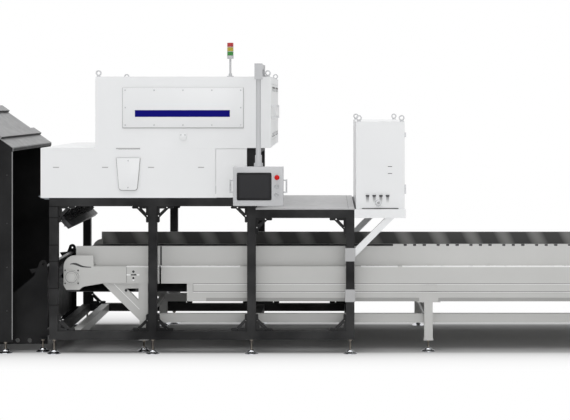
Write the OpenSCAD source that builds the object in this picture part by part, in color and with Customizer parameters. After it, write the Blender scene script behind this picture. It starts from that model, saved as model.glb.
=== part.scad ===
// Optical bottle sorter: inspection head on a tube frame over a belt conveyor, with an air ejector bar,
// a chute with a splitter, a separation hood, an operator panel and a control cabinet.
// Working axes: +X along the conveyor towards its feeding end, +Y towards the back, +Z up, millimetres.

/* [Frame] */
// Side of the square frame tube
tube = 80; // [70:5:90]
// Wall of the square frame tube
tube_wall = 5; // [3:1:8]
// Distance from one post to the next
post_pitch = 940; // [900:10:980]
// Depth of the frame over the posts
frame_depth = 1980; // [1950:10:2060]
// Height of the bottom rails' underside
rail_z = 138; // [132:1:150]
// Height of the underside of the beams that carry the head
beam_z = 1405; // [1395:5:1450]
// Height of the underside of the beams in the table bay
table_z = 1293; // [1270:1:1310]
// Thickness of the table plate
table_t = 12; // [8:1:16]
// Leg of a corner bracket
bracket_leg = 145; // [130:5:160]
// Bar width of a corner bracket
bracket_bar = 24; // [20:1:30]
// Leg of the open window in a corner bracket
bracket_window = 46; // [36:2:52]
// Depth of a corner bracket
bracket_t = 40; // [30:2:60]

/* [Levelling feet] */
// Diameter of a foot's base
foot_d = 132; // [110:2:136]
// Height of a foot's domed base
foot_h = 40; // [34:1:50]
// Diameter of a foot's threaded rod
rod_d = 20; // [16:1:24]

/* [Inspection head] */
// Thickness of the sheet panels
sheet = 6; // [4:1:8]
// Overhang of the lower housing past the left posts
housing_over = 82; // [60:2:100]
// Height of the lower housing
housing_h = 474; // [440:2:500]
// Distance from the left posts to the upper cabinet's left wall
cabinet_x = 437; // [400:1:470]
// Overhang of the upper cabinet past the third posts
cabinet_over = 144; // [130:2:150]
// Height of the upper cabinet
cabinet_h = 678; // [640:2:720]
// Width of the raised service panel
panel_w = 1145; // [1000:5:1200]
// Height of the raised service panel
panel_h = 379; // [340:1:400]
// How far the service panel stands proud
panel_t = 12; // [6:1:20]
// Distance from the cabinet's left wall to the service panel
panel_x = 262; // [200:2:280]
// Height of the service panel above the cabinet's lower edge
panel_z = 194; // [170:2:210]
// Diameter of a panel screw's head
screw_d = 14; // [10:1:18]
// Width of the small front door
door_w = 299; // [260:1:320]
// Thickness of the doors
door_t = 20; // [16:1:26]
// Gap around a closed door
door_gap = 3; // [2:0.5:5]
// Width of a side door
side_door_w = 780; // [700:10:790]
// Width of the slot that the cameras look through
sight_w = 200; // [160:10:260]

/* [Signal tower] */
// Distance from the upper cabinet's right wall to the tower
tower_x = 389; // [340:5:420]
// Diameter of the tower's pole
tower_pole_d = 20; // [16:1:26]
// Diameter of a tower lens
tower_d = 62; // [50:1:70]
// Height of a tower lens
lens_h = 42; // [36:1:52]
// Height of the pole above the roof
tower_pole_h = 171; // [150:1:200]

/* [Operator panel] */
// Reach of the swing arm from the roof pivot to the drop pole
arm_reach = 650; // [600:10:700]
// Diameter of the drop pole
pole_d = 46; // [40:1:54]
// Width of the operator housing
hmi_w = 456; // [430:2:480]
// Height of the operator housing
hmi_h = 353; // [330:1:380]
// Depth of the operator housing
hmi_depth = 120; // [100:2:140]
// Height of the operator housing's top
hmi_top = 1806; // [1780:2:1840]
// Diameter of the emergency stop's mushroom
estop_d = 46; // [36:1:54]
// Diameter of a push button
button_d = 34; // [26:1:40]

/* [Control cabinet] */
// Width of the control cabinet along the machine
box_w = 465; // [430:5:490]
// Depth of the control cabinet
box_depth = 1800; // [1760:10:1840]
// Height of the control cabinet
box_h = 836; // [800:4:900]

/* [Conveyor] */
// Height of the belt's carrying face
belt_z = 875; // [860:1:890]
// Width of the belt
belt_w = 1550; // [1500:10:1556]
// Thickness of the belt
belt_t = 5; // [4:0.5:8]
// Radius of the end drums
drum_r = 150; // [140:1:152]
// Distance between the drums' axes
drum_pitch = 6000; // [5800:50:6400]
// Radius of the drum shafts
shaft_r = 25; // [20:1:30]
// Radius of a return roller
roller_r = 30; // [24:1:34]
// Distance between the outer faces of the side channels
channel_span = 1720; // [1714:2:1730]
// Height of a side channel
channel_h = 165; // [150:5:175]
// Height of the skirts' top edge above the belt
skirt_h = 133; // [110:1:160]
// Side of a conveyor leg
leg_w = 80; // [70:2:84]

/* [Chute and hood] */
// Distance between the outer faces of the chute's side plates
chute_span = 1605; // [1580:5:1620]
// Width of the separation hood
hood_w = 1900; // [1880:10:1960]
// Length of the separation hood
hood_len = 1250; // [1200:10:1400]
// Height of the hood's eave
eave_z = 1956; // [1900:2:2000]
// Slope of the hood's roof
roof_slope = 35; // [30:1:40]

/* [Hidden] */
$fn = 48;
// Radial clearance of a shaft that turns in a hole
run_fit = 0.05;
// Clearance between faces that move past each other
seat_gap = 0.3;
// Seam between sheets and tubes that are bolted or tacked together
seam = 0.2;
// Frame lines
frame_len = 3 * post_pitch + tube;
back_y = frame_depth - tube;
mid_y = frame_depth / 2;
rail_top = rail_z + tube;
beam_top = beam_z + tube;
table_beam_top = table_z + tube;
third_x = 2 * post_pitch;
third_end = third_x + tube;
// Inspection head
housing_x0 = -housing_over;
housing_x1 = third_x;
head_z0 = beam_top + housing_h;
head_z1 = head_z0 + cabinet_h;
head_x1 = third_end + cabinet_over;
door_x0 = housing_x1 - door_w;
// Door pivots, set in from the door's edge and face
hinge_in = 2 * door_gap;
hinge_r = 4;
hinge_len = door_gap + 5;
hinge_x = door_x0 + door_gap + hinge_in;
sight_x = cabinet_x + 363;
camera_x = sight_x + sight_w / 2;
camera_beam_w = 100;
camera_z = head_z1 - 260;
panel_x0 = cabinet_x + panel_x;
panel_z0 = head_z0 + panel_z;
screw_h = 4;
screw_inset = 24;
cover_t = 12;
cover_x = 751;
cover_top_w = 224;
cover_low_w = 173;
cover_z0 = beam_top + 75;
cover_h = 304;
lock_x = panel_x0 + panel_w / 2;
lock_z = head_z0 + 105;
lock_r = 35;
// Side doors of the head, each hinged at its far edge
side_door_edge = 50;
side_door_rail = 40;
side_door_far_y = frame_depth - side_door_edge - side_door_w;
side_door_y = [side_door_far_y - side_door_rail - side_door_w, side_door_far_y];
side_door_z0 = head_z0 + 66;
side_door_z1 = head_z1 - 66;
// Signal tower
tower_at = head_x1 - tower_x;
tower_y = 80;
tower_z = head_z1 + tower_pole_h;
tower_base_h = 28;
// Swing arm of the operator panel
arm_x = head_x1 - 88;
arm_y = 80;
arm_h = 42;
arm_w = 50;
arm_z0 = head_z1 + 68;
pin_r = 15;
pole_y = arm_y - arm_reach;
elbow_w = 70;
elbow_drop = 103;
hmi_front = pole_y - 70;
hmi_x0 = arm_x - hmi_w / 2;
hmi_z0 = hmi_top - hmi_h;
hmi_wall = 3;
hmi_face = 8;
collar_h = 107;
flange_h = 34;
pole_seat = hmi_top + 47;
stem_r = 11;
button_x = hmi_x0 + hmi_w - 57;
estop_z = hmi_top - 94;
start_z = hmi_top - 176;
stop_z = hmi_top - 251;
estop_travel = 8;
button_travel = 5;
estop_head_h = 22;
screen_w = 315;
screen_h = 251;
screen_inset = 35;
screen_drop = 51;
// Control cabinet and its console
box_x0 = frame_len + 17;
box_x1 = box_x0 + box_w;
box_y0 = mid_y - box_depth / 2;
box_y1 = mid_y + box_depth / 2;
box_z0 = table_beam_top;
box_z1 = box_z0 + box_h;
box_hinge_y = box_y0 + sheet + door_gap + hinge_in;
plate_in = 60;
plate_t = 8;
module_x = box_x0 + sheet + plate_t;
console_len = box_w + 23;
strut_w = 60;
strut_run = 285;
clamp_wall = 8;
// Conveyor
drum_x = 191;
tail_x = drum_x + drum_pitch;
drum_z = belt_z - belt_t - seat_gap - drum_r;
conv_y0 = mid_y - channel_span / 2;
conv_y1 = mid_y + channel_span / 2;
channel_z1 = belt_z - 55;
channel_z0 = channel_z1 - channel_h;
channel_t = 6;
skirt_y = 70;
skirt_t = 6;
skirt_z1 = belt_z + skirt_h;
tab_run = 2916;
tab_x0 = tail_x - tab_run;
bed_t = 4;
bed_y0 = conv_y0 + skirt_y + skirt_t + 2;
bed_y1 = 2 * mid_y - bed_y0;
drum_w = belt_w + 10;
drum_end_room = drum_r + 10;
head_plate_t = 12;
head_plate_x0 = drum_x - 79;
head_plate_len = 368;
edge_x = drum_x - head_plate_x0;
shoulder_x = 30;
shoulder_z = 96;
shoulder_r = shoulder_x + edge_x;
chin = 25;
chin_z = 80;
heel_x = 71;
heel = 38;
brow_x = 209;
module_gap_x = 1031;
module_gap = 17;
return_z = drum_z - drum_r - seat_gap - belt_t;
pan_z0 = return_z - 2 * roller_r - 20;
pan_x0 = 1295;
pan_x1 = tail_x - 300;
pan_t = 4;
roller_z = return_z - seat_gap - roller_r;
roller_in = 900;
roller_x = [pan_x0 + roller_in, pan_x1 - roller_in];
axle_r = 10;
bracket_w = 10;
leg_end = 491;
leg_x = [880, 3613, tail_x - leg_end];
leg_set = 4;
leg_in = leg_w / 2 + leg_set;
leg_y = [conv_y0 + leg_in, conv_y1 - leg_in];
leg_foot_z = 110;
leg_plate_t = 12;
gusset_w = 359;
gusset_t = 40;
pan_y0 = conv_y0 + channel_t;
field_t = 4;
leg_cap_w = 230;
leg_cap_t = 10;
pan_y1 = 2 * mid_y - pan_y0;
tie_z = 268;
tie_h = 88;
tie_t = 44;
bearing_t = 34;
flange_t = 12;
gearbox_w = 104;
gearbox_gap = 2;
// Ejector bar
ejector_x = 126;
ejector_z = beam_z - 180;
ejector_len = 1600;
valve_count = 15;
bar_w = 104;
bar_t = 44;
// Chute and splitter
chute_x1 = -51;
chute_x0 = -620;
chute_z0 = 66;
chute_t = 6;
chute_y0 = mid_y - chute_span / 2;
chute_y1 = mid_y + chute_span / 2;
lug_x = -96;
lug_z = 836;
lug_r = 38;
flap_shaft_r = 13;
chute_foot_x = [-90, -570];
chute_lug = 60;
chute_lug_z = 120;
// Hood
hood_x1 = -356;
hood_x0 = hood_x1 - hood_len;
hood_z0 = 109;
hood_y0 = mid_y - hood_w / 2;
hood_y1 = mid_y + hood_w / 2;
hood_t = 6;
roof_run = 700;
roof_rise = roof_run * tan(roof_slope);
hood_top = eave_z + roof_rise;
hood_rail = 60;
// Lifting eyes
eye_ring_r = 28;
eye_hole_r = 15;
eye_t = 16;
eye_inset = 28;
// Middle of the footprint, moved to the origin
x_min = hood_x0;
x_max = tail_x + drum_r + seat_gap + belt_t;
y_min = hmi_front - estop_travel - 1 - estop_head_h;
y_max = max(frame_depth + panel_t + screw_h, back_y + tube / 2 + foot_d / 2);
mid_x = (x_min + x_max) / 2;
mid_depth = (y_min + y_max) / 2;

module placed() translate([-mid_x, -mid_depth, 0]) children();

// Box from its lowest to its highest corner
module block(low, high) translate(low) cube(high - low);

// Cylinder along Y from one Y to another
module bar_y(x, z, r, y0, y1) translate([x, y1, z]) rotate([90, 0, 0]) cylinder(r = r, h = y1 - y0);

// Cylinder along Z from one Z to another
module bar_z(x, y, r, z0, z1) translate([x, y, z0]) cylinder(r = r, h = z1 - z0);

// Outline in X and Z, drawn out along Y
module plate_y(y0, y1) translate([0, y1, 0]) rotate([90, 0, 0]) linear_extrude(y1 - y0) children();

// Copy on the far side of the machine's middle plane
module both_sides() {
  children();
  translate([0, 2 * mid_y, 0]) mirror([0, 1, 0]) children();
}

// Square tube along X, Y or Z, open at its ends
module tube_x(x0, x1, y, z, w = tube) difference() {
  block([x0, y, z], [x1, y + w, z + w]);
  block([x0 - 1, y + tube_wall, z + tube_wall], [x1 + 1, y + w - tube_wall, z + w - tube_wall]);
}
module tube_y(y0, y1, x, z, w = tube) difference() {
  block([x, y0, z], [x + w, y1, z + w]);
  block([x + tube_wall, y0 - 1, z + tube_wall], [x + w - tube_wall, y1 + 1, z + w - tube_wall]);
}
module tube_z(z0, z1, x, y, w = tube) difference() {
  block([x, y, z0], [x + w, y + w, z1]);
  block([x + tube_wall, y + tube_wall, z0 - 1], [x + w - tube_wall, y + w - tube_wall, z1 + 1]);
}

frame_black = [0.16, 0.16, 0.17];
panel_white = [0.9, 0.9, 0.9];
conveyor_grey = [0.72, 0.72, 0.71];
steel = [0.62, 0.62, 0.63];

module frame_posts() color(frame_black) both_sides() {
  for (x = [0, post_pitch]) tube_z(rail_top, beam_z, x, 0);
  tube_z(rail_top, head_z0, third_x, 0);
  tube_z(rail_top, table_z, 3 * post_pitch, 0);
}

module frame_rails() color(frame_black) {
  both_sides() tube_x(0, frame_len, 0, rail_z);
  for (x = [0, third_x, 3 * post_pitch]) tube_y(tube + seam, back_y - seam, x, rail_z);
}

module frame_beams() color(frame_black) {
  difference() {
    both_sides() tube_x(0, third_x, 0, beam_z);
    bar_z(hinge_x, hinge_in, hinge_r + run_fit, beam_top - tube_wall - 1, beam_top + 1);
  }
  both_sides() tube_x(third_end, frame_len, 0, table_z);
  for (x = [0, post_pitch, third_x]) tube_y(tube + seam, back_y - seam, x, beam_z);
  tube_y(tube + seam, back_y - seam, third_x, head_z0 - tube);
  tube_y(tube + seam, back_y - seam, 3 * post_pitch, table_z);
}

// Cast triangle with two legs, a brace and an open window
module bracket_outline() {
  window = bracket_bar + bracket_window;
  brace_w = bracket_bar * 1.17;
  brace = window + brace_w * sqrt(2);
  lobe = bracket_bar / 2;
  hole_r = bracket_bar * 0.28;
  hole_at = bracket_leg * 0.65;
  hole_in = bracket_bar * 0.6;
  difference() {
    union() {
      polygon([[0, 0], [bracket_leg, 0], [bracket_leg, bracket_bar], [brace, bracket_bar],
        [bracket_bar, brace], [bracket_bar, bracket_leg], [0, bracket_leg]]);
      translate([bracket_leg, lobe]) circle(r = lobe);
      translate([lobe, bracket_leg]) circle(r = lobe);
    }
    polygon([[bracket_bar, bracket_bar], [window, bracket_bar], [bracket_bar, window]]);
    translate([hole_at, hole_in]) circle(r = hole_r);
    translate([hole_in, hole_at]) circle(r = hole_r);
  }
}

module corner(x, z, side, up) translate([x, 0, z]) mirror([side < 0 ? 1 : 0, 0, 0])
  mirror([0, 0, up < 0 ? 1 : 0])
  plate_y((tube - bracket_t) / 2, (tube + bracket_t) / 2) bracket_outline();

module corner_brackets() color(frame_black) both_sides() for (bay = [0:2]) {
  top_z = bay < 2 ? beam_z : table_z;
  left = bay * post_pitch + tube;
  right = (bay + 1) * post_pitch;
  corner(left, rail_top, 1, 1);
  corner(right, rail_top, -1, 1);
  corner(left, top_z, 1, -1);
  corner(right, top_z, -1, -1);
}

// Domed base, threaded rod and lock nut under a seat at height top
module foot(x, y, top) translate([x, y, 0]) {
  edge = 5;
  nut_h = 16;
  rotate_extrude() polygon([[0, 0], [foot_d / 2, 0], [foot_d / 2, edge], [foot_d * 0.22, foot_h * 0.45],
    [foot_d * 0.15, foot_h], [0, foot_h]]);
  cylinder(d = rod_d, h = top);
  translate([0, 0, top - nut_h]) cylinder(d = rod_d * 1.8, h = nut_h, $fn = 6);
}

module levelling_feet() color(steel) {
  both_sides() {
    for (i = [0:3]) foot(i * post_pitch + tube / 2, tube / 2, rail_z);
    for (x = [hood_x0 + 75, hood_x1 - 75]) foot(x, hood_y0 + hood_t + hood_rail / 2, hood_z0);
    for (x = chute_foot_x) foot(x, chute_y0 - chute_lug / 2, chute_lug_z);
  }
  for (x = leg_x, y = leg_y) foot(x, y, leg_foot_z);
}

// Bracket round an end post that holds the conveyor's skirt or pan
module post_clamp(z0, z1, reach) {
  x0 = 3 * post_pitch;
  difference() {
    block([x0 - clamp_wall, -clamp_wall, z0], [x0 + tube + clamp_wall, reach - seam, z1]);
    block([x0 - seam, -seam, z0 - 1], [x0 + tube + seam, reach + 1, z1 + 1]);
  }
}

module post_clamps() color(conveyor_grey) both_sides() {
  post_clamp(belt_z + 7, skirt_z1, conv_y0 + skirt_y);
  post_clamp(pan_z0 + 12, pan_z0 + 130, pan_y0 - field_t);
}

module table_plate() color(conveyor_grey)
  block([third_end + 2, 0, table_beam_top], [frame_len, frame_depth, table_beam_top + table_t]);

module lower_housing() color(panel_white) {
  wall_top = head_z0 - sheet - seam;
  inner_y0 = sheet + seam;
  inner_y1 = frame_depth - sheet - seam;
  slot_w = 52;
  slot_h = 8;
  slot_z = beam_top + 285;
  slot_x = 64;
  slot_pitch = 457;
  long_slot_w = 228;
  difference() {
    block([housing_x0, 0, beam_top], [door_x0, sheet, wall_top]);
    for (i = [0:3]) block([slot_x + i * slot_pitch - slot_w / 2, -1, slot_z],
      [slot_x + i * slot_pitch + slot_w / 2, sheet + 1, slot_z + slot_h]);
    block([cover_x - long_slot_w / 2, -1, wall_top - slot_h],
      [cover_x + long_slot_w / 2, sheet + 1, wall_top + 1]);
  }
  block([housing_x0, frame_depth - sheet, beam_top], [housing_x1, frame_depth, wall_top]);
  block([housing_x0, inner_y0, beam_top], [housing_x0 + sheet, inner_y1, wall_top]);
  block([housing_x1 - sheet, door_t + door_gap, beam_top], [housing_x1, inner_y1, wall_top]);
  block([housing_x0, 0, head_z0 - sheet], [sight_x, frame_depth, head_z0]);
  difference() {
    block([sight_x + sight_w, 0, head_z0 - sheet], [housing_x1, frame_depth, head_z0]);
    bar_z(hinge_x, hinge_in, hinge_r + run_fit, head_z0 - sheet - 1, head_z0 + 1);
  }
}

module upper_cabinet() color(panel_white) {
  roof_z = head_z1 - sheet;
  wall_top = roof_z - seam;
  inner_y0 = sheet + seam;
  inner_y1 = frame_depth - inner_y0;
  wall_x = head_x1 - sheet;
  both_sides() block([cabinet_x, 0, head_z0], [head_x1, sheet, wall_top]);
  block([cabinet_x, inner_y0, head_z0], [cabinet_x + sheet, inner_y1, wall_top]);
  block([cabinet_x, 0, roof_z], [head_x1, frame_depth, head_z1]);
  block([housing_x1 + seam, inner_y0, head_z0], [wall_x - seam, inner_y1, head_z0 + sheet]);
  for (y = side_door_y) difference() {
    union() {
      block([head_x1 - door_t, y, head_z0 + sheet + seam], [head_x1, y + side_door_w, side_door_z0]);
      block([head_x1 - door_t, y, side_door_z1], [head_x1, y + side_door_w, wall_top]);
    }
    bar_z(head_x1 - hinge_in, y + side_door_w - door_gap - hinge_in, hinge_r + run_fit,
      side_door_z0 - hinge_len, side_door_z1 + hinge_len);
  }
  edges = [inner_y0, side_door_y[0] - seam, side_door_y[0] + side_door_w + seam, side_door_y[1] - seam,
    side_door_y[1] + side_door_w + seam, inner_y1];
  for (i = [0, 2, 4]) block([wall_x, edges[i], head_z0], [head_x1, edges[i + 1], wall_top]);
}

module service_panels() color(panel_white) both_sides()
  block([panel_x0, -panel_t, panel_z0], [panel_x0 + panel_w, 0, panel_z0 + panel_h]);

module screw(x, z, seat) bar_y(x, z, screw_d / 2, seat - screw_h, seat);

module panel_screws() color(steel) {
  span = panel_w - 2 * screw_inset;
  both_sides() {
    for (i = [0:4], z = [panel_z0 + screw_inset, panel_z0 + panel_h - screw_inset])
      screw(panel_x0 + screw_inset + i * span / 4, z, -panel_t);
    for (i = [0, 1]) screw(panel_x0 + screw_inset + i * span, panel_z0 + panel_h / 2, -panel_t);
  }
  for (z = [cover_z0 + screw_inset, cover_z0 + cover_h - screw_inset]) screw(cover_x, z, -cover_t);
  for (side = [-1, 1]) screw(lock_x + side * screw_d * 1.4, lock_z + lock_r * 0.55, -cover_t);
}

module front_covers() color(panel_white) {
  round_r = 28;
  plate_y(-cover_t, 0) hull() {
    translate([cover_x - cover_top_w / 2, cover_z0 + cover_h - 1]) square([cover_top_w, 1]);
    for (side = [-1, 1]) translate([cover_x + side * (cover_low_w / 2 - round_r), cover_z0 + round_r])
      circle(r = round_r, $fn = 32);
  }
  bar_y(lock_x, lock_z, lock_r, -cover_t, 0);
  block([lock_x - lock_r, -cover_t, lock_z], [lock_x + lock_r, 0, lock_z + lock_r]);
}

module housing_door() color(panel_white) {
  low = beam_top + door_gap;
  high = head_z0 - sheet - door_gap;
  block([door_x0 + door_gap, 0, low], [housing_x1 - door_gap, door_t, high]);
  bar_z(hinge_x, hinge_in, hinge_r, low - hinge_len, high + hinge_len);
}

// Leaf of the head's side door with its two louvre strips and its grip
module side_door(y0) color(panel_white) {
  low = side_door_z0 + door_gap;
  high = side_door_z1 - door_gap;
  strip_h = 36;
  strip_t = 4;
  slat_count = 3;
  grip_w = 24;
  grip_h = 110;
  grip_out = 30;
  block([head_x1 - door_t, y0 + door_gap, low], [head_x1, y0 + side_door_w - door_gap, high]);
  bar_z(head_x1 - hinge_in, y0 + side_door_w - door_gap - hinge_in, hinge_r,
    low - hinge_len, high + hinge_len);
  for (z = [low + strip_h, high - 2 * strip_h], i = [0:slat_count - 1])
    block([head_x1, y0 + 3 * grip_w, z + i * strip_h / slat_count],
      [head_x1 + strip_t, y0 + side_door_w - 3 * grip_w, z + (i + 0.6) * strip_h / slat_count]);
  for (z = [-1, 1]) block([head_x1, y0 + 2 * grip_w, (low + high) / 2 + z * grip_h / 2 - grip_w / 2],
    [head_x1 + grip_out, y0 + 3 * grip_w, (low + high) / 2 + z * grip_h / 2 + grip_w / 2]);
  block([head_x1 + grip_out, y0 + 2 * grip_w, (low + high) / 2 - grip_h / 2 - grip_w / 2],
    [head_x1 + grip_out + strip_t * 2, y0 + 3 * grip_w, (low + high) / 2 + grip_h / 2 + grip_w / 2]);
}

module side_door_near() side_door(side_door_y[0]);

module side_door_far() side_door(side_door_y[1]);

// Ring on a round collar, its hole along Y
module lifting_eye(x, y, z) {
  collar_r = 18;
  collar_h = 10;
  ring_z = z + collar_h + eye_ring_r - 4;
  bar_z(x, y, collar_r, z, z + collar_h);
  difference() {
    bar_y(x, ring_z, eye_ring_r, y - eye_t / 2, y + eye_t / 2);
    bar_y(x, ring_z, eye_hole_r, y - eye_t, y + eye_t);
  }
}

module lifting_eyes() color(steel) {
  for (x = [cabinet_x + eye_inset, head_x1 - eye_inset], y = [eye_inset, frame_depth - eye_inset])
    lifting_eye(x, y, head_z1);
  for (x = [box_x0 + eye_inset, box_x1 - eye_inset], y = [box_y0 + eye_inset, box_y1 - eye_inset])
    lifting_eye(x, y, box_z1);
}

module camera_beam() color(steel) block([camera_x - camera_beam_w / 2, sheet, camera_z],
  [camera_x + camera_beam_w / 2, frame_depth - sheet, camera_z + camera_beam_w]);

// Three line cameras under the beam, spread over the belt
module cameras() color([0.2, 0.2, 0.22]) for (i = [-1:1]) {
  body_w = 0.9 * camera_beam_w;
  body_h = 1.4 * camera_beam_w;
  lens_r = 0.32 * camera_beam_w;
  y = mid_y + i * belt_w * 0.355;
  low = camera_z - body_h;
  block([camera_x - body_w / 2, y - body_w / 2, low], [camera_x + body_w / 2, y + body_w / 2, camera_z]);
  bar_z(camera_x, y, lens_r, low - 2 * lens_r, low);
}

module light_bars() color([0.85, 0.86, 0.88]) for (side = [-1, 1]) {
  bar_w = 90;
  bar_h = 70;
  x = camera_x + side * sight_w;
  top = head_z0 - sheet;
  block([x - bar_w / 2, sheet, top - bar_h], [x + bar_w / 2, frame_depth - sheet, top]);
}

module ejector_frame() translate([ejector_x, 0, ejector_z]) rotate([0, 45, 0]) children();

module ejector_manifold() color(frame_black) {
  port_r = 9.3;
  port_depth = 30;
  hanger_t = 10;
  reach = 40;
  y0 = mid_y - ejector_len / 2;
  y1 = mid_y + ejector_len / 2;
  ejector_frame() difference() {
    block([-bar_w / 2, y0, -bar_t / 2], [bar_w / 2, y1, bar_t / 2]);
    bar_y(0, 0, port_r, y1 - port_depth, y1 + 1);
  }
  for (y = [y0 - hanger_t - seam, y1 + seam]) difference() {
    plate_y(y, y + hanger_t) polygon([[0, beam_z], [tube, beam_z], [ejector_x + reach, ejector_z + reach / 2],
      [ejector_x + reach / 2, ejector_z - reach], [ejector_x - reach, ejector_z]]);
    bar_y(ejector_x, ejector_z, port_r * 1.6, y - 1, y + hanger_t + 1);
  }
}

// Row of valve blocks on the narrow upper side of the manifold, each with its round coil
module ejector_valves() color([0.1, 0.1, 0.11]) ejector_frame() for (i = [0:valve_count - 1]) {
  valve_l = 70;
  valve_h = 46;
  coil_r = 18;
  coil_h = 24;
  pitch = (ejector_len - 100) / valve_count;
  y = mid_y + (i - (valve_count - 1) / 2) * pitch;
  block([-bar_w / 2 - valve_h, y - valve_l / 2, -bar_t / 2], [-bar_w / 2, y + valve_l / 2, bar_t / 2]);
  translate([-bar_w / 2 - valve_h - coil_h, y, 0]) rotate([0, 90, 0]) cylinder(r = coil_r, h = coil_h);
}

module tower_pole() color(steel) {
  flange_r = 32;
  bar_z(tower_at, tower_y, flange_r, head_z1, head_z1 + 8);
  bar_z(tower_at, tower_y, tower_pole_d / 2, head_z1, tower_z);
  bar_z(tower_at, tower_y, tower_d / 2, tower_z, tower_z + tower_base_h);
}

// One lens of the tower, counted from the lowest
module tower_lens(level) {
  z = tower_z + tower_base_h + level * lens_h;
  bar_z(tower_at, tower_y, tower_d / 2, z, z + lens_h - 3);
  bar_z(tower_at, tower_y, tower_d / 2 - 2, z, z + lens_h);
}

module tower_green() color([0.1, 0.55, 0.15]) tower_lens(0);

module tower_amber() color([0.75, 0.68, 0.05]) tower_lens(1);

module tower_red() color([0.7, 0.08, 0.08]) tower_lens(2);

module arm_base() color(steel) {
  bar_z(arm_x, arm_y, 50, head_z1, head_z1 + 12);
  bar_z(arm_x, arm_y, 30, head_z1, arm_z0 - seat_gap);
  bar_z(arm_x, arm_y, pin_r, head_z1, arm_z0 + arm_h);
}

// Tube from the roof pivot to the elbow, and the pole that hangs from it
module swing_arm() color(conveyor_grey) {
  elbow_z0 = arm_z0 - elbow_drop;
  difference() {
    union() {
      bar_z(arm_x, arm_y, 32, arm_z0, arm_z0 + arm_h);
      block([arm_x - arm_w / 2, pole_y, arm_z0], [arm_x + arm_w / 2, arm_y, arm_z0 + arm_h]);
    }
    bar_z(arm_x, arm_y, pin_r + run_fit, arm_z0 - 1, arm_z0 + arm_h + 1);
  }
  block([arm_x - elbow_w / 2, pole_y - elbow_w / 2, elbow_z0],
    [arm_x + elbow_w / 2, pole_y + elbow_w / 2, arm_z0 + arm_h]);
  bar_z(arm_x, pole_y, pole_d / 2, pole_seat + seat_gap, elbow_z0);
}

module swivel_collar() color(steel) difference() {
  union() {
    bar_z(arm_x, pole_y, pole_d / 2 + 18, hmi_top, hmi_top + flange_h);
    bar_z(arm_x, pole_y, pole_d / 2 + 8, hmi_top, hmi_top + collar_h);
  }
  bar_z(arm_x, pole_y, pole_d / 2 + run_fit, pole_seat, hmi_top + collar_h + 1);
}

// Folded tray open at the back, and the plate that closes it
module operator_housing() color(conveyor_grey) {
  back = hmi_front + hmi_depth;
  cover = 4;
  difference() {
    block([hmi_x0, hmi_front, hmi_z0], [hmi_x0 + hmi_w, back - cover - seam, hmi_top]);
    block([hmi_x0 + hmi_wall, hmi_front + hmi_face, hmi_z0 + hmi_wall],
      [hmi_x0 + hmi_w - hmi_wall, back, hmi_top - hmi_wall]);
    for (z = [estop_z, start_z, stop_z]) bar_y(button_x, z, stem_r + run_fit, hmi_front - 1, back);
  }
  block([hmi_x0, back - cover, hmi_z0], [hmi_x0 + hmi_w, back, hmi_top]);
}

module operator_screen() color([0.15, 0.15, 0.16]) {
  bezel_t = 6;
  x0 = hmi_x0 + screen_inset;
  z1 = hmi_top - screen_drop;
  block([x0, hmi_front - bezel_t, z1 - screen_h], [x0 + screen_w, hmi_front, z1]);
}

// Two bow handles, one on each side of the housing
module operator_handles() color(steel) for (side = [-1, 1]) {
  grip_r = 7;
  out = 28;
  span = 124;
  edge = arm_x + side * hmi_w / 2;
  y = hmi_front + hmi_depth / 2;
  z = (hmi_top + hmi_z0) / 2;
  bar_z(edge + side * out, y, grip_r, z - span / 2, z + span / 2);
  for (end = [-1, 1]) translate([edge, y, z + end * (span / 2 - grip_r)]) rotate([0, side * 90, 0])
    cylinder(r = grip_r, h = out);
}

// Round head in front of the housing with a stem through its face
module push_button(z, r, travel, head_h) {
  gap = travel + 1;
  bar_y(button_x, z, r, hmi_front - gap - head_h, hmi_front - gap);
  bar_y(button_x, z, stem_r, hmi_front - gap, hmi_front + hmi_face + 20);
}

module emergency_stop() color([0.85, 0.12, 0.1])
  push_button(estop_z, estop_d / 2, estop_travel, estop_head_h);

module start_button() color([0.3, 0.3, 0.31]) push_button(start_z, button_d / 2, button_travel, 10);

module stop_button() color([0.3, 0.3, 0.31]) push_button(stop_z, button_d / 2, button_travel, 10);

module console_frame() color(panel_white) {
  x1 = frame_len + console_len;
  strut_x = frame_len + clamp_wall + seam;
  strut_z = table_z - seam;
  both_sides() {
    tube_x(frame_len, x1, 0, table_z);
    plate_y((tube - strut_w) / 2, (tube + strut_w) / 2) polygon([[strut_x, strut_z - strut_run],
      [strut_x, strut_z - strut_run - strut_w * sqrt(2)], [strut_x + strut_run + strut_w * sqrt(2), strut_z],
      [strut_x + strut_run, strut_z]]);
  }
  for (x = [frame_len + 20, x1 - tube]) tube_y(tube + seam, back_y - seam, x, table_z);
}

module control_cabinet() color(panel_white) {
  top = box_z1 - sheet;
  low = box_z0 + sheet;
  both_sides() block([box_x0, box_y0, low + seam], [box_x1, box_y0 + sheet, top - seam]);
  block([box_x0, box_y0 + sheet + seam, low + seam], [box_x0 + sheet, box_y1 - sheet - seam, top - seam]);
  difference() {
    union() {
      block([box_x0, box_y0, top], [box_x1, box_y1, box_z1]);
      block([box_x0, box_y0, box_z0], [box_x1, box_y1, low]);
    }
    both_sides() bar_z(box_x1 - hinge_in, box_hinge_y, hinge_r + run_fit, box_z0 - 1, box_z1 + 1);
  }
}

// Near leaf of the cabinet's double door with its turn lock and its pivot
module cabinet_leaf() color(panel_white) {
  low = box_z0 + sheet + door_gap;
  high = box_z1 - sheet - door_gap;
  lock_in = 60;
  block([box_x1 - door_t, box_y0 + sheet + door_gap, low], [box_x1, mid_y - door_gap / 2, high]);
  bar_z(box_x1 - hinge_in, box_hinge_y, hinge_r, low - hinge_len, high + hinge_len);
  translate([box_x1, mid_y - lock_in, (low + high) / 2]) rotate([0, 90, 0]) cylinder(r = 16, h = 14);
}

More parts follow.
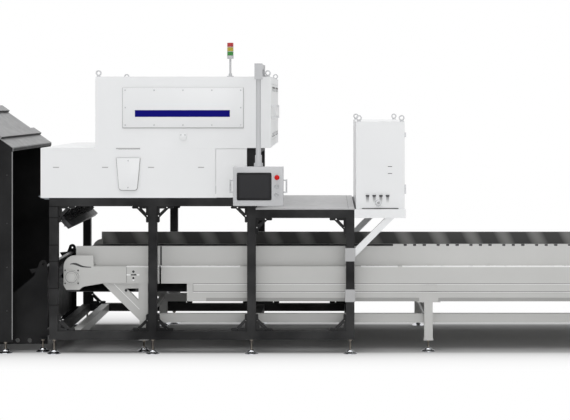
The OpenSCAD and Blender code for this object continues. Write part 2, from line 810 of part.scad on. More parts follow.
module cabinet_door_near() cabinet_leaf();

module cabinet_door_far() translate([0, 2 * mid_y, 0]) mirror([0, 1, 0]) cabinet_leaf();

module mounting_plate() color(steel)
  block([box_x0 + sheet, box_y0 + plate_in, box_z0 + plate_in],
    [module_x, box_y1 - plate_in, box_z1 - plate_in]);

// Drives in the upper row, controller and power supply in the lower row of the mounting plate
module control_modules() color([0.25, 0.26, 0.28]) {
  count = 6;
  pitch = (box_depth - 4 * plate_in) / count;
  drive_w = 0.7 * pitch;
  supply_w = 0.85 * pitch;
  drive_z = box_z0 + box_h * 0.52;
  supply_z = box_z0 + box_h * 0.17;
  for (i = [0:count - 1]) {
    y = box_y0 + 2 * plate_in + i * pitch;
    depth = box_w * (i % 2 == 0 ? 0.26 : 0.3);
    block([module_x, y, drive_z], [module_x + depth, y + drive_w, drive_z + box_h * 0.32]);
    block([module_x, y, supply_z], [module_x + box_w * 0.17, y + supply_w, supply_z + box_h * 0.19]);
  }
}

// Hooded outlets and a round gland on the near face
module cable_glands() color([0.12, 0.12, 0.13]) {
  outlet_w = 40;
  outlet_h = 26;
  outlet_wall = 5;
  outlet_pitch = 64;
  outlet_x = box_x0 + 109;
  outlet_z = box_z0 + 108;
  gland_r = 24;
  gland_x = box_x0 + 212;
  gland_z = box_z0 + 58;
  out = 24;
  for (i = [0:3]) {
    x = outlet_x + i * outlet_pitch;
    difference() {
      block([x - outlet_w / 2, box_y0 - out, outlet_z], [x + outlet_w / 2, box_y0, outlet_z + outlet_h]);
      block([x - outlet_w / 2 + outlet_wall, box_y0 - out - 1, outlet_z - 1],
        [x + outlet_w / 2 - outlet_wall, box_y0 - outlet_wall, outlet_z + outlet_h - outlet_wall]);
    }
  }
  difference() {
    bar_y(gland_x, gland_z, gland_r, box_y0 - out, box_y0);
    bar_y(gland_x, gland_z, gland_r * 0.6, box_y0 - out - 1, box_y0 - outlet_wall);
  }
}

// Rolled channel open towards the middle of the conveyor
module channel(x0, x1) difference() {
  block([x0, conv_y0, channel_z0], [x1, bed_y0, channel_z1]);
  block([x0 - 1, conv_y0 + channel_t, channel_z0 + channel_t], [x1 + 1, bed_y0 + 1, channel_z1 - channel_t]);
}

// Long side channels in two lengths, the first with the take-up's cover plate, guide slot and pin holes
module side_channels() color(conveyor_grey) {
  near_end = head_plate_x0 + head_plate_len;
  cover_out = 4;
  cover_len = 235;
  slot_len = 120;
  slot_h = 10;
  slot_z = (channel_z0 + channel_z1) / 2;
  hole_r = 10;
  hole_x = near_end + cover_len + 0.55 * slot_len;
  both_sides() {
    difference() {
      channel(near_end, module_gap_x);
      block([near_end + cover_len + 8, conv_y0 - 1, slot_z - slot_h / 2],
        [near_end + cover_len + slot_len, conv_y0 + channel_t + 1, slot_z + slot_h / 2]);
      for (k = [-1, 1]) bar_y(hole_x, slot_z + 3 * k * hole_r, hole_r, conv_y0 - 1, conv_y0 + channel_t + 1);
    }
    channel(module_gap_x + module_gap, tail_x + drum_x - head_plate_x0 - head_plate_len);
    block([near_end, conv_y0 - cover_out, channel_z0 + 6], [near_end + cover_len, conv_y0, channel_z1 - 6]);
  }
}

// Side guides of the belt, the near one with a row of flat tabs along the feeding end
module skirts() color(conveyor_grey) {
  skirt_end = tail_x - shoulder_x;
  tab_pitch = 317;
  tab_h = 19;
  tab_gap = 30;
  tab_long = 102;
  tab_short = 61;
  tab_count = floor((skirt_end - tab_x0) / tab_pitch);
  near_y = conv_y0 + skirt_y;
  both_sides() block([drum_x + shoulder_x, near_y, channel_z1], [skirt_end, near_y + skirt_t, skirt_z1]);
  for (i = [0:tab_count - 1], tab = [[0, tab_long], [tab_long + tab_gap, tab_short],
    [tab_long + tab_short + 2 * tab_gap, tab_short]]) {
    x = tab_x0 + i * tab_pitch + tab[0];
    block([x, near_y, skirt_z1 - 1], [x + tab[1], near_y + skirt_t, skirt_z1 + tab_h]);
  }
}

// Folded plate under the carrying run of the belt
module slider_bed() color(steel) {
  x0 = drum_x + drum_end_room;
  x1 = tail_x - drum_end_room;
  top = belt_z - belt_t;
  low = channel_z1 - 20;
  difference() {
    block([x0, bed_y0, low], [x1, bed_y1, top]);
    block([x0 - 1, bed_y0 + bed_t, low - 1], [x1 + 1, bed_y1 - bed_t, top - bed_t]);
  }
}

// End plate about the drum's axis, with a round shoulder at its upper outer corner
module end_plate_outline() difference() {
  union() {
    translate([shoulder_x, shoulder_z]) circle(r = shoulder_r);
    polygon([[-edge_x, shoulder_z], [-edge_x, -chin_z], [chin - edge_x, -chin_z - chin * 1.8],
      [heel_x, -chin_z - chin * 1.8], [heel_x + heel, -chin_z - chin * 0.6],
      [head_plate_len - edge_x, channel_z0 - drum_z],
      [head_plate_len - edge_x, channel_z1 - drum_z], [brow_x, channel_z1 - drum_z],
      [brow_x, shoulder_z + shoulder_r], [shoulder_x, shoulder_z + shoulder_r]]);
  }
  circle(r = shaft_r + 7);
  sway_slot();
}

// Slot that swings over the bearing, as wide as the take-up's guide pin
module sway_slot() {
  half = [0, 3.5];
  path = [[-17, 120], [0, 124], [20, 125], [40, 122], [60, 115], [85, 104], [110, 97], [146, 93], [186, 92]];
  last = len(path) - 1;
  polygon(concat([for (p = path) p + half], [for (i = [0:last]) path[last - i] - half]));
}

module end_plate() {
  plate_y(conv_y0, conv_y0 + head_plate_t) end_plate_outline();
  block([shoulder_x, conv_y0 + head_plate_t, channel_z1 - drum_z - channel_t],
    [head_plate_len - edge_x, bed_y0, channel_z1 - drum_z]);
}

module end_plates() color(conveyor_grey) both_sides() {
  translate([drum_x, 0, drum_z]) end_plate();
  translate([tail_x, 0, drum_z]) mirror([1, 0, 0]) end_plate();
}

// Drum shell with pierced end discs on a through shaft
module drum(x, shaft_end) {
  shell = 8;
  disc = 12;
  half = drum_w / 2;
  difference() {
    bar_y(x, drum_z, drum_r, mid_y - half, mid_y + half);
    bar_y(x, drum_z, drum_r - shell, mid_y - half + disc, mid_y + half - disc);
    for (a = [0:90:270]) bar_y(x + drum_r * 0.58 * cos(a), drum_z + drum_r * 0.58 * sin(a), drum_r * 0.19,
      mid_y - half - 1, mid_y + half + 1);
  }
  bar_y(x, drum_z, shaft_r, conv_y0 - bearing_t + 8, shaft_end);
}

module head_drum() color(steel) drum(drum_x, conv_y1 + bearing_t + gearbox_gap + gearbox_w - 4);

module tail_drum() color(steel) drum(tail_x, conv_y1 + bearing_t - 8);

// Flange unit on the near side with a stepped cover and four bolts,
// its bore closed unless the shaft passes through
module flange_bearing(x, through) translate([x, 0, drum_z]) {
  cover_r = 66;
  cap_r = 38;
  bolt_r = 9;
  bolt_h = 8;
  bolt_at = 62.5;
  cap = through ? -1 : 6;
  for (i = [-1, 1], k = [-1, 1]) bar_y(i * bolt_at, k * bolt_at, bolt_r, conv_y0 - bolt_h, conv_y0, $fn = 6);
  difference() {
    union() {
      bar_y(0, 0, cover_r, conv_y0 - bearing_t + 12, conv_y0);
      bar_y(0, 0, cap_r, conv_y0 - bearing_t, conv_y0);
    }
    bar_y(0, 0, shaft_r + run_fit, conv_y0 - bearing_t + cap, conv_y0 + 1);
  }
}

module flange_bearings() color(conveyor_grey) {
  for (x = [drum_x, tail_x]) flange_bearing(x, false);
  translate([0, 2 * mid_y, 0]) mirror([0, 1, 0]) {
    flange_bearing(drum_x, true);
    flange_bearing(tail_x, false);
  }
}

// Outline of a loop of given radius round both drums
module loop_outline(r) {
  for (x = [drum_x, tail_x]) translate([x, drum_z]) circle(r = r);
  translate([drum_x, drum_z - r]) square([drum_pitch, 2 * r]);
}

module belt() color([0.08, 0.08, 0.08]) plate_y(mid_y - belt_w / 2, mid_y + belt_w / 2) difference() {
  loop_outline(drum_r + seat_gap + belt_t);
  loop_outline(drum_r + seat_gap);
}

// Roller on a thin axle that turns in two brackets
module return_roller(x) {
  wall = pan_y0 + pan_t;
  bar_y(x, roller_z, roller_r, wall + bracket_w + 2, 2 * mid_y - wall - bracket_w - 2);
  bar_y(x, roller_z, axle_r, wall + seat_gap, 2 * mid_y - wall - seat_gap);
}

module return_roller_left() color(steel) return_roller(roller_x[0]);

module return_roller_right() color(steel) return_roller(roller_x[1]);

module roller_brackets() color(conveyor_grey) both_sides() for (x = roller_x) difference() {
  block([x - roller_r, pan_y0 + pan_t, pan_z0 + pan_t],
    [x + roller_r, pan_y0 + pan_t + bracket_w, roller_z + 2.5 * axle_r]);
  bar_y(x, roller_z, axle_r + run_fit, pan_y0, pan_y0 + pan_t + bracket_w + 1);
}

// Trough under the return run with a raised field along each side
module lower_pan() color(conveyor_grey) {
  field_in = 59;
  field_z0 = channel_z0 - 82;
  difference() {
    block([pan_x0, pan_y0, pan_z0], [pan_x1, pan_y1, channel_z0]);
    block([pan_x0 - 1, pan_y0 + pan_t, pan_z0 + pan_t], [pan_x1 + 1, pan_y1 - pan_t, channel_z0 + 1]);
  }
  both_sides() for (x = [[pan_x0 + field_in, leg_x[1] - leg_w], [leg_x[1] + leg_w, leg_x[2] - leg_w]])
    block([x[0], pan_y0 - field_t, field_z0], [x[1], pan_y0, channel_z0 - field_t]);
}

// Tube legs on foot plates: the first pair up to the channels beside a pierced gusset,
// the others capped under the pan
module conveyor_legs() color(conveyor_grey) {
  sleeve = 6;
  window_w = 115;
  window_in = 12;
  window_drop = 50;
  for (x = leg_x, y = leg_y) {
    capped = x > leg_x[0];
    top = capped ? pan_z0 - leg_cap_t - seam : channel_z0;
    tube_z(leg_foot_z + leg_plate_t, top, x - leg_w / 2, y - leg_w / 2, leg_w);
    block([x - leg_w / 2 - sleeve, y - leg_w / 2 - sleeve, leg_foot_z],
      [x + leg_w / 2 + sleeve, y + leg_w / 2 + sleeve, leg_foot_z + leg_plate_t]);
    if (capped) block([x - leg_cap_w / 2, y - leg_w / 2, top],
      [x + leg_cap_w / 2, y + leg_w / 2, pan_z0 - seam]);
  }
  gusset_x1 = leg_x[0] - leg_w / 2 - seam;
  gusset_x0 = gusset_x1 - gusset_w;
  both_sides() plate_y(leg_y[0] - gusset_t / 2, leg_y[0] + gusset_t / 2) difference() {
    polygon([[gusset_x0, channel_z0], [gusset_x1, channel_z0], [gusset_x1, channel_z0 - gusset_w]]);
    polygon([[gusset_x1 - window_in - window_w, channel_z0 - window_drop],
      [gusset_x1 - window_in, channel_z0 - window_drop],
      [gusset_x1 - window_in, channel_z0 - window_drop - window_w]]);
  }
}

// Long ties between the legs, cross tubes, and the cross tube between the frame's bottom rails under the head
module tie_beams() color(conveyor_grey) {
  foot_tube_x = 200;
  tube_y(tube + seam, back_y - seam, foot_tube_x, rail_z);
  y0 = leg_y[0] + leg_w / 2;
  x0 = leg_x[0] - leg_w / 2;
  x1 = leg_x[2] + leg_w / 2;
  both_sides() difference() {
    block([x0, y0, tie_z], [x1, y0 + tie_t, tie_z + tie_h]);
    block([x0 - 1, y0 + tube_wall, tie_z + tube_wall],
      [x1 + 1, y0 + tie_t - tube_wall, tie_z + tie_h - tube_wall]);
  }
  cross_y = y0 + tie_t + seam;
  for (x = leg_x) tube_y(cross_y, 2 * mid_y - cross_y, x - tie_t / 2, tie_z + tie_t / 2, tie_t);
}

// Right-angle gearbox on the drum shaft, its finned motor with terminal box and fan cowl, and the torque arm
module gearmotor() color([0.3, 0.36, 0.42]) {
  half_w = 95;
  half_h = 110;
  motor_r = gearbox_w / 2;
  core_r = motor_r - 8;
  flange_len = 18;
  motor_len = 320;
  cowl_len = 60;
  fin_t = 5;
  fin_pitch = 14;
  fin_x0 = flange_len + 12;
  fin_count = floor((motor_len - cowl_len - fin_x0) / fin_pitch);
  box_w = 96;
  box_h = 34;
  lug_t = 15;
  lug_h = 30;
  lug_drop = 90;
  y0 = conv_y1 + bearing_t + gearbox_gap;
  difference() {
    block([drum_x - half_w, y0, drum_z - half_h], [drum_x + half_w, y0 + gearbox_w, drum_z + half_h]);
    bar_y(drum_x, drum_z, shaft_r + run_fit, y0 - 1, y0 + gearbox_w + 1);
  }
  translate([drum_x + half_w, y0 + motor_r, drum_z]) rotate([0, 90, 0]) {
    cylinder(r = core_r, h = motor_len);
    cylinder(r = motor_r, h = flange_len);
    translate([0, 0, motor_len - cowl_len]) cylinder(r = motor_r, h = cowl_len);
    for (i = [0:fin_count - 1]) translate([0, 0, fin_x0 + i * fin_pitch]) cylinder(r = motor_r, h = fin_t);
  }
  translate([drum_x + half_w + fin_x0, y0 + motor_r, drum_z])
    block([fin_pitch, -box_w / 2 + fin_t, core_r - 4],
      [fin_pitch + box_w, box_w / 2 - fin_t, motor_r + box_h]);
  lug_z0 = drum_z - lug_drop;
  block([drum_x + half_w - lug_t, conv_y1, lug_z0], [drum_x + half_w, y0, lug_z0 + lug_h]);
}

module hood_walls() color(frame_black) {
  both_sides() {
    plate_y(hood_y0, hood_y0 + hood_t) polygon([[hood_x0, hood_z0], [hood_x1, hood_z0], [hood_x1, eave_z],
      [hood_x1 - roof_run, hood_top], [hood_x0, hood_top]]);
    tube_x(hood_x0 + hood_t + seam, hood_x1, hood_y0 + hood_t + seam, hood_z0, hood_rail);
  }
  block([hood_x0, hood_y0 + hood_t + seam, hood_z0], [hood_x0 + hood_t, hood_y1 - hood_t - seam, hood_top]);
}

// Sloping and flat roof sheets, the eave's lip and two stiffening ribs
module hood_roof() color(frame_black) {
  rise = hood_t / cos(roof_slope);
  lip = 30;
  rib_w = 98;
  rib_h = 25;
  rib_at = [140, 560];
  peak = hood_x1 - roof_run;
  plate_y(hood_y0, hood_y1) polygon([[hood_x1, eave_z], [peak, hood_top], [peak, hood_top + rise],
    [hood_x1, eave_z + rise]]);
  block([hood_x0, hood_y0, hood_top], [peak - seam, hood_y1, hood_top + rise]);
  block([hood_x1 + seam, hood_y0, eave_z - lip], [hood_x1 + hood_t, hood_y1, eave_z + rise]);
  translate([hood_x1, 0, eave_z + rise]) rotate([0, roof_slope, 0])
    for (d = rib_at) block([-d - rib_w, hood_y0, seam], [-d, hood_y1, rib_h]);
}

module chute_sides() color(frame_black) {
  edge_slope = 0.836;
  hood_tie_y = hood_y0 + hood_t + hood_rail + 2 * seam;
  chute_edge_z = lug_z - 116 - (lug_x - 87 - chute_x0) * edge_slope;
  both_sides() {
    plate_y(chute_y0, chute_y0 + chute_t) difference() {
      union() {
        translate([lug_x, lug_z]) circle(r = lug_r);
        polygon([[chute_x0, chute_z0], [chute_x1, chute_z0], [chute_x1, lug_z - 56], [lug_x + lug_r, lug_z],
          [lug_x - lug_r, lug_z], [lug_x - 87, lug_z - 116], [chute_x0, chute_edge_z]]);
      }
      translate([lug_x, lug_z]) circle(r = flap_shaft_r + run_fit);
      for (x = [-340, -225]) translate([x, chute_z0 + 35]) circle(r = 21);
    }
    for (x = chute_foot_x) {
      lug_y = x < hood_x1 ? hood_tie_y : chute_y0 - chute_lug;
      block([x - chute_lug / 2, lug_y, chute_lug_z], [x + chute_lug / 2, chute_y0 - seam, chute_lug_z + 10]);
    }
    block([chute_x1 + seam, chute_y0, rail_z + 10], [-seam, chute_y0 + chute_t, rail_top - 10]);
  }
  block([lug_x - chute_t / 2, chute_y0 + chute_t + seam, chute_z0 + 120],
    [lug_x + chute_t / 2, chute_y1 - chute_t - seam, lug_z - 70]);
}

// Wedge that parts the falling streams, on a shaft in the chute's lugs
module splitter_flap() color(steel) {
  gap = 2;
  bar_y(lug_x, lug_z, flap_shaft_r, chute_y0 - 8, chute_y1 + 8);
  translate([lug_x, 0, lug_z]) plate_y(chute_y0 + chute_t + gap, chute_y1 - chute_t - gap)
    polygon([[12, 4], [4, 15], [-20, 13], [-133, -48], [-30, -32], [10, -12]]);
}

placed() frame_posts();
placed() frame_rails();
placed() frame_beams();
placed() corner_brackets();
placed() levelling_feet();
placed() post_clamps();
placed() table_plate();
placed() lower_housing();
placed() upper_cabinet();
placed() service_panels();
placed() panel_screws();
placed() front_covers();
placed() housing_door();
placed() side_door_near();
placed() side_door_far();
placed() lifting_eyes();
placed() camera_beam();
placed() cameras();
placed() light_bars();
placed() ejector_manifold();
placed() ejector_valves();
placed() tower_pole();
placed() tower_green();
placed() tower_amber();
placed() tower_red();
placed() arm_base();
placed() swing_arm();
placed() swivel_collar();
placed() operator_housing();
placed() operator_screen();
placed() operator_handles();
placed() emergency_stop();
placed() start_button();
placed() stop_button();
placed() console_frame();
placed() control_cabinet();
placed() cabinet_door_near();
placed() cabinet_door_far();
placed() mounting_plate();
placed() control_modules();
placed() cable_glands();
placed() side_channels();
placed() skirts();
placed() slider_bed();
placed() end_plates();
placed() head_drum();
placed() tail_drum();
placed() flange_bearings();
placed() belt();
placed() return_roller_left();
placed() return_roller_right();
placed() roller_brackets();
placed() lower_pan();
placed() conveyor_legs();
placed() tie_beams();
placed() gearmotor();
placed() hood_walls();
placed() hood_roof();
placed() chute_sides();
placed() splitter_flap();
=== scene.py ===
import math
import bmesh
import bpy
from mathutils import Matrix, Vector


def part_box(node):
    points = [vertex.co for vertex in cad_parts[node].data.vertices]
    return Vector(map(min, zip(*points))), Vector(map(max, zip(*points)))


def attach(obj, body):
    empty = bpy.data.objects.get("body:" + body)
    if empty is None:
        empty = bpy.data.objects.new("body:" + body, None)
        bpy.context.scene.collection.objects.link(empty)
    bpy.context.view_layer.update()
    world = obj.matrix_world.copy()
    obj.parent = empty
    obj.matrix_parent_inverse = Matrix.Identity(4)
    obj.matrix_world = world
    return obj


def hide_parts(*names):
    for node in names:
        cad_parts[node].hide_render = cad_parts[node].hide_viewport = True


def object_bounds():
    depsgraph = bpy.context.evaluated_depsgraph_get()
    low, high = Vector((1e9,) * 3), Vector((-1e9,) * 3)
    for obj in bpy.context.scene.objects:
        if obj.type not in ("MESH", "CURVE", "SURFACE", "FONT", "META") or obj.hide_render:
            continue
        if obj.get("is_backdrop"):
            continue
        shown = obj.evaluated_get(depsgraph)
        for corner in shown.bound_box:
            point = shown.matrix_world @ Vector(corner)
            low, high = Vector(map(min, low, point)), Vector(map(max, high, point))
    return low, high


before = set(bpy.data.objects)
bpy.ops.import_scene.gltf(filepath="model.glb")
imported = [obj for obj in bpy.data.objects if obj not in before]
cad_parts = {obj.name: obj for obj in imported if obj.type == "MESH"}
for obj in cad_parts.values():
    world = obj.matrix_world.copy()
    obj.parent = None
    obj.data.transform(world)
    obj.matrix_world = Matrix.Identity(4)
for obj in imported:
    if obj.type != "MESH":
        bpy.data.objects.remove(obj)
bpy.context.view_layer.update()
print("frame loaded:", len(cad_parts), "nodes")

scene = bpy.context.scene
scene.view_settings.view_transform = "Standard"
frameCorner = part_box("frame_posts")[0]  # left front edge of the sorter frame


def at(x, y, z):
    # millimetres from the left front post's corner on the floor
    return Vector((frameCorner.x + x / 1000, frameCorner.y + y / 1000, z / 1000))


# camera, level and far back, framed by shift as a catalogue picture is
cameraSettings = {"lens": 92.6, "sensor": 36, "clip": 200, "shiftX": -0.0807, "shiftY": -0.1895,
                  "place": (2677, -13930, 2396)}
cameraData = bpy.data.cameras.new("camera")
cameraData.lens = cameraSettings["lens"]
cameraData.sensor_width = cameraSettings["sensor"]
cameraData.shift_x = cameraSettings["shiftX"]
cameraData.shift_y = cameraSettings["shiftY"]
cameraData.clip_end = cameraSettings["clip"]
camera = bpy.data.objects.new("camera", cameraData)
scene.collection.objects.link(camera)
camera.location = at(*cameraSettings["place"])
camera.rotation_euler = (math.radians(90), 0, 0)
scene.camera = camera

# light: a bright ceiling, a dimmer horizon, a broad lamp overhead and an almost level one in front
# each lamp has its energy, its turn and its spread
lightSettings = {"horizon": 0.2, "zenith": 1.05, "white": 1.0,
                 "lamps": {"ceilingLamp": (1.0, (16, -4, -20), 50),
                           "frontLamp": (0.82, (84, 0, 10), 40)}}
world = bpy.data.worlds.new("studio")
scene.world = world
world.use_nodes = True
worldNodes = world.node_tree.nodes
worldLinks = world.node_tree.links
skyShader = worldNodes["Background"]
skyShader.inputs["Color"].default_value = (1, 1, 1, 1)
skyPlace = worldNodes.new("ShaderNodeTexCoord")
skySplit = worldNodes.new("ShaderNodeSeparateXYZ")
skyLevel = worldNodes.new("ShaderNodeMapRange")
skyLevel.inputs["To Min"].default_value = lightSettings["horizon"]
skyLevel.inputs["To Max"].default_value = lightSettings["zenith"]
worldLinks.new(skyPlace.outputs["Generated"], skySplit.inputs["Vector"])
worldLinks.new(skySplit.outputs["Z"], skyLevel.inputs["Value"])
# seen straight, in a gloss or through glass, the surroundings are plain white
skyPath = worldNodes.new("ShaderNodeLightPath")
seen = skyPath.outputs["Is Camera Ray"]
for ray in ("Is Glossy Ray", "Is Transmission Ray"):
    both = worldNodes.new("ShaderNodeMath")
    both.operation = "MAXIMUM"
    worldLinks.new(seen, both.inputs[0])
    worldLinks.new(skyPath.outputs[ray], both.inputs[1])
    seen = both.outputs["Value"]
skyMix = worldNodes.new("ShaderNodeMix")
skyMix.inputs["B"].default_value = lightSettings["white"]
worldLinks.new(seen, skyMix.inputs["Factor"])
worldLinks.new(skyLevel.outputs["Result"], skyMix.inputs["A"])
worldLinks.new(skyMix.outputs["Result"], skyShader.inputs["Strength"])
for lampName, (energy, turn, spread) in lightSettings["lamps"].items():
    lampData = bpy.data.lights.new(lampName, "SUN")
    lampData.energy = energy
    lampData.angle = math.radians(spread)
    lamp = bpy.data.objects.new(lampName, lampData)
    lamp.rotation_euler = [math.radians(angle) for angle in turn]
    scene.collection.objects.link(lamp)
print("camera and light ready")


# materials
def newMaterial(name):
    material = bpy.data.materials.new(name)
    material.use_nodes = True
    tree = material.node_tree
    return material, tree, tree.nodes["Principled BSDF"]


def noiseOn(tree, scale, detail=3.0, stretch=(1, 1, 1)):
    # noise in metres on the object's own coordinates
    coordinate = tree.nodes.new("ShaderNodeTexCoord")
    mapping = tree.nodes.new("ShaderNodeMapping")
    mapping.inputs["Scale"].default_value = stretch
    noise = tree.nodes.new("ShaderNodeTexNoise")
    noise.inputs["Scale"].default_value = scale
    noise.inputs["Detail"].default_value = detail
    tree.links.new(coordinate.outputs["Object"], mapping.inputs["Vector"])
    tree.links.new(mapping.outputs["Vector"], noise.inputs["Vector"])
    return noise


def rangeOf(tree, socket, low, high):
    # the middle of a noise spread from low to high
    spread = tree.nodes.new("ShaderNodeMapRange")
    spread.inputs["From Min"].default_value = 0.3
    spread.inputs["From Max"].default_value = 0.7
    spread.inputs["To Min"].default_value = low
    spread.inputs["To Max"].default_value = high
    tree.links.new(socket, spread.inputs["Value"])
    return spread.outputs["Result"]


def colourOf(tree, socket, first, second, low=0.3, high=0.7):
    ramp = tree.nodes.new("ShaderNodeValToRGB")
    ramp.color_ramp.elements[0].position = low
    ramp.color_ramp.elements[1].position = high
    ramp.color_ramp.elements[0].color = (*first, 1)
    ramp.color_ramp.elements[1].color = (*second, 1)
    tree.links.new(socket, ramp.inputs["Fac"])
    return ramp.outputs["Color"]


def bumpOn(tree, shader, socket, strength, depth):
    bump = tree.nodes.new("ShaderNodeBump")
    bump.inputs["Strength"].default_value = strength
    bump.inputs["Distance"].default_value = depth
    tree.links.new(socket, bump.inputs["Height"])
    tree.links.new(bump.outputs["Normal"], shader.inputs["Normal"])


def linear(*rgb):
    # sRGB of 0 to 255 to linear light
    return tuple(c / 255 / 12.92 if c < 11 else ((c / 255 + 0.055) / 1.055) ** 2.4 for c in rgb)


def mixed(colour, other, share):
    return tuple(a + (b - a) * share for a, b in zip(colour, other))


def darker(colour, share):
    return mixed(colour, (0, 0, 0), share)


def lighter(colour, share):
    return mixed(colour, (1, 1, 1), share)


def paint(name, rgb, rough, peel=0.06, peelScale=260, dust=0.05, coat=0.0, gloss=0.5):
    # sprayed or powder coat: cloudy tone, uneven sheen and orange peel
    material, tree, shader = newMaterial(name)
    colour = linear(*rgb)
    cloud = noiseOn(tree, scale=2.2, detail=5)
    tone = colourOf(tree, cloud.outputs["Fac"], darker(colour, dust), lighter(colour, dust * 0.3))
    tree.links.new(tone, shader.inputs["Base Color"])
    sheen = noiseOn(tree, scale=14, detail=4)
    roughness = rangeOf(tree, sheen.outputs["Fac"], rough - 0.06, rough + 0.08)
    tree.links.new(roughness, shader.inputs["Roughness"])
    peelNoise = noiseOn(tree, peelScale, detail=2)
    bumpOn(tree, shader, peelNoise.outputs["Fac"], peel, depth=0.001)
    shader.inputs["Specular IOR Level"].default_value = gloss
    shader.inputs["Coat Weight"].default_value = coat
    shader.inputs["Coat Roughness"].default_value = 0.12
    return material


def metal(name, rgb, rough, stretch=(1, 1, 1), grain=90, bump=0.05, stain=0.15):
    # bare metal with a drawn grain along one axis
    material, tree, shader = newMaterial(name)
    colour = linear(*rgb)
    lines = noiseOn(tree, grain, detail=4, stretch=stretch)
    cloud = noiseOn(tree, scale=3.5, detail=5)
    tone = colourOf(tree, cloud.outputs["Fac"], darker(colour, stain), colour)
    tree.links.new(tone, shader.inputs["Base Color"])
    roughness = rangeOf(tree, lines.outputs["Fac"], rough * 0.75, rough * 1.3)
    tree.links.new(roughness, shader.inputs["Roughness"])
    bumpOn(tree, shader, lines.outputs["Fac"], bump, depth=0.0005)
    shader.inputs["Metallic"].default_value = 1.0
    return material


def plastic(name, rgb, rough, coat=0.0, texture=0.05, scale=900, gloss=0.5):
    # moulded plastic with a fine spark-eroded texture
    material, tree, shader = newMaterial(name)
    colour = linear(*rgb)
    cloud = noiseOn(tree, scale=9)
    tone = colourOf(tree, cloud.outputs["Fac"], darker(colour, 0.06), colour)
    tree.links.new(tone, shader.inputs["Base Color"])
    grain = noiseOn(tree, scale, detail=2)
    roughness = rangeOf(tree, grain.outputs["Fac"], rough - 0.05, rough + 0.07)
    tree.links.new(roughness, shader.inputs["Roughness"])
    bumpOn(tree, shader, grain.outputs["Fac"], texture, depth=0.0004)
    shader.inputs["Specular IOR Level"].default_value = gloss
    shader.inputs["Coat Weight"].default_value = coat
    shader.inputs["Coat Roughness"].default_value = 0.08
    return material


def lens(name, rgb):
    # coloured lamp lens: vertical prism lines under a glossy skin
    material, tree, shader = newMaterial(name)
    colour = linear(*rgb)
    cloud = noiseOn(tree, scale=30, detail=2)
    tone = colourOf(tree, cloud.outputs["Fac"], darker(colour, 0.18), colour)
    tree.links.new(tone, shader.inputs["Base Color"])
    coordinate = tree.nodes.new("ShaderNodeTexCoord")
    prism = tree.nodes.new("ShaderNodeTexWave")
    prism.wave_type = "BANDS"
    prism.bands_direction = "X"
    prism.inputs["Scale"].default_value = 60
    tree.links.new(coordinate.outputs["Object"], prism.inputs["Vector"])
    bumpOn(tree, shader, prism.outputs["Fac"], strength=0.25, depth=0.001)
    shader.inputs["Roughness"].default_value = 0.18
    shader.inputs["Coat Weight"].default_value = 0.6
    shader.inputs["Subsurface Weight"].default_value = 0.15
    shader.inputs["Subsurface Radius"].default_value = (0.01, 0.01, 0.01)
    return material


def rubber(name, rgb):
    # belt cover: matt with a fine fabric print and scuffed tracks along the run
    material, tree, shader = newMaterial(name)
    colour = linear(*rgb)
    tracks = noiseOn(tree, scale=30, detail=4, stretch=(0.06, 1, 1))
    tone = colourOf(tree, tracks.outputs["Fac"], darker(colour, 0.35), lighter(colour, 0.05))
    tree.links.new(tone, shader.inputs["Base Color"])
    weave = noiseOn(tree, scale=700, detail=1)
    roughness = rangeOf(tree, tracks.outputs["Fac"], 0.62, 0.82)
    tree.links.new(roughness, shader.inputs["Roughness"])
    bumpOn(tree, shader, weave.outputs["Fac"], strength=0.3, depth=0.0006)
    return material


def polished(name, dark, bright):
    # mill-bright sheet: its slanting light and dark bands are painted reflections, its fine rolling lines
    # are in roughness and bump
    material, tree, shader = newMaterial(name)
    coordinate = tree.nodes.new("ShaderNodeTexCoord")
    mapping = tree.nodes.new("ShaderNodeMapping")
    mapping.inputs["Rotation"].default_value = (0, math.radians(27), 0)
    reflectionBands = tree.nodes.new("ShaderNodeTexWave")
    reflectionBands.wave_type = "BANDS"
    reflectionBands.bands_direction = "X"
    reflectionBands.inputs["Scale"].default_value = 1.0
    reflectionBands.inputs["Distortion"].default_value = 1.0
    reflectionBands.inputs["Detail"].default_value = 1.5
    reflectionBands.inputs["Detail Scale"].default_value = 0.8
    tree.links.new(coordinate.outputs["Object"], mapping.inputs["Vector"])
    tree.links.new(mapping.outputs["Vector"], reflectionBands.inputs["Vector"])
    lines = noiseOn(tree, scale=240, stretch=(0.03, 1, 1))
    tone = colourOf(tree, reflectionBands.outputs["Fac"], linear(*dark), linear(*bright), low=0.4, high=1.0)
    tree.links.new(tone, shader.inputs["Base Color"])
    roughness = rangeOf(tree, lines.outputs["Fac"], 0.34, 0.5)
    tree.links.new(roughness, shader.inputs["Roughness"])
    bumpOn(tree, shader, lines.outputs["Fac"], strength=0.08, depth=0.0004)
    shader.inputs["Metallic"].default_value = 0.35
    return material


def fading(name, dark, bright, low, high):
    # sheet that fades upwards from the panel's white into the shade under a cap, heights in metres
    material, tree, shader = newMaterial(name)
    coordinate = tree.nodes.new("ShaderNodeTexCoord")
    split = tree.nodes.new("ShaderNodeSeparateXYZ")
    level = tree.nodes.new("ShaderNodeMapRange")
    level.inputs["From Min"].default_value = low
    level.inputs["From Max"].default_value = high
    tree.links.new(coordinate.outputs["Object"], split.inputs["Vector"])
    tree.links.new(split.outputs["Z"], level.inputs["Value"])
    tone = colourOf(tree, level.outputs["Result"], linear(*bright), linear(*dark), low=0, high=1)
    tree.links.new(tone, shader.inputs["Base Color"])
    shader.inputs["Roughness"].default_value = 0.45
    return material


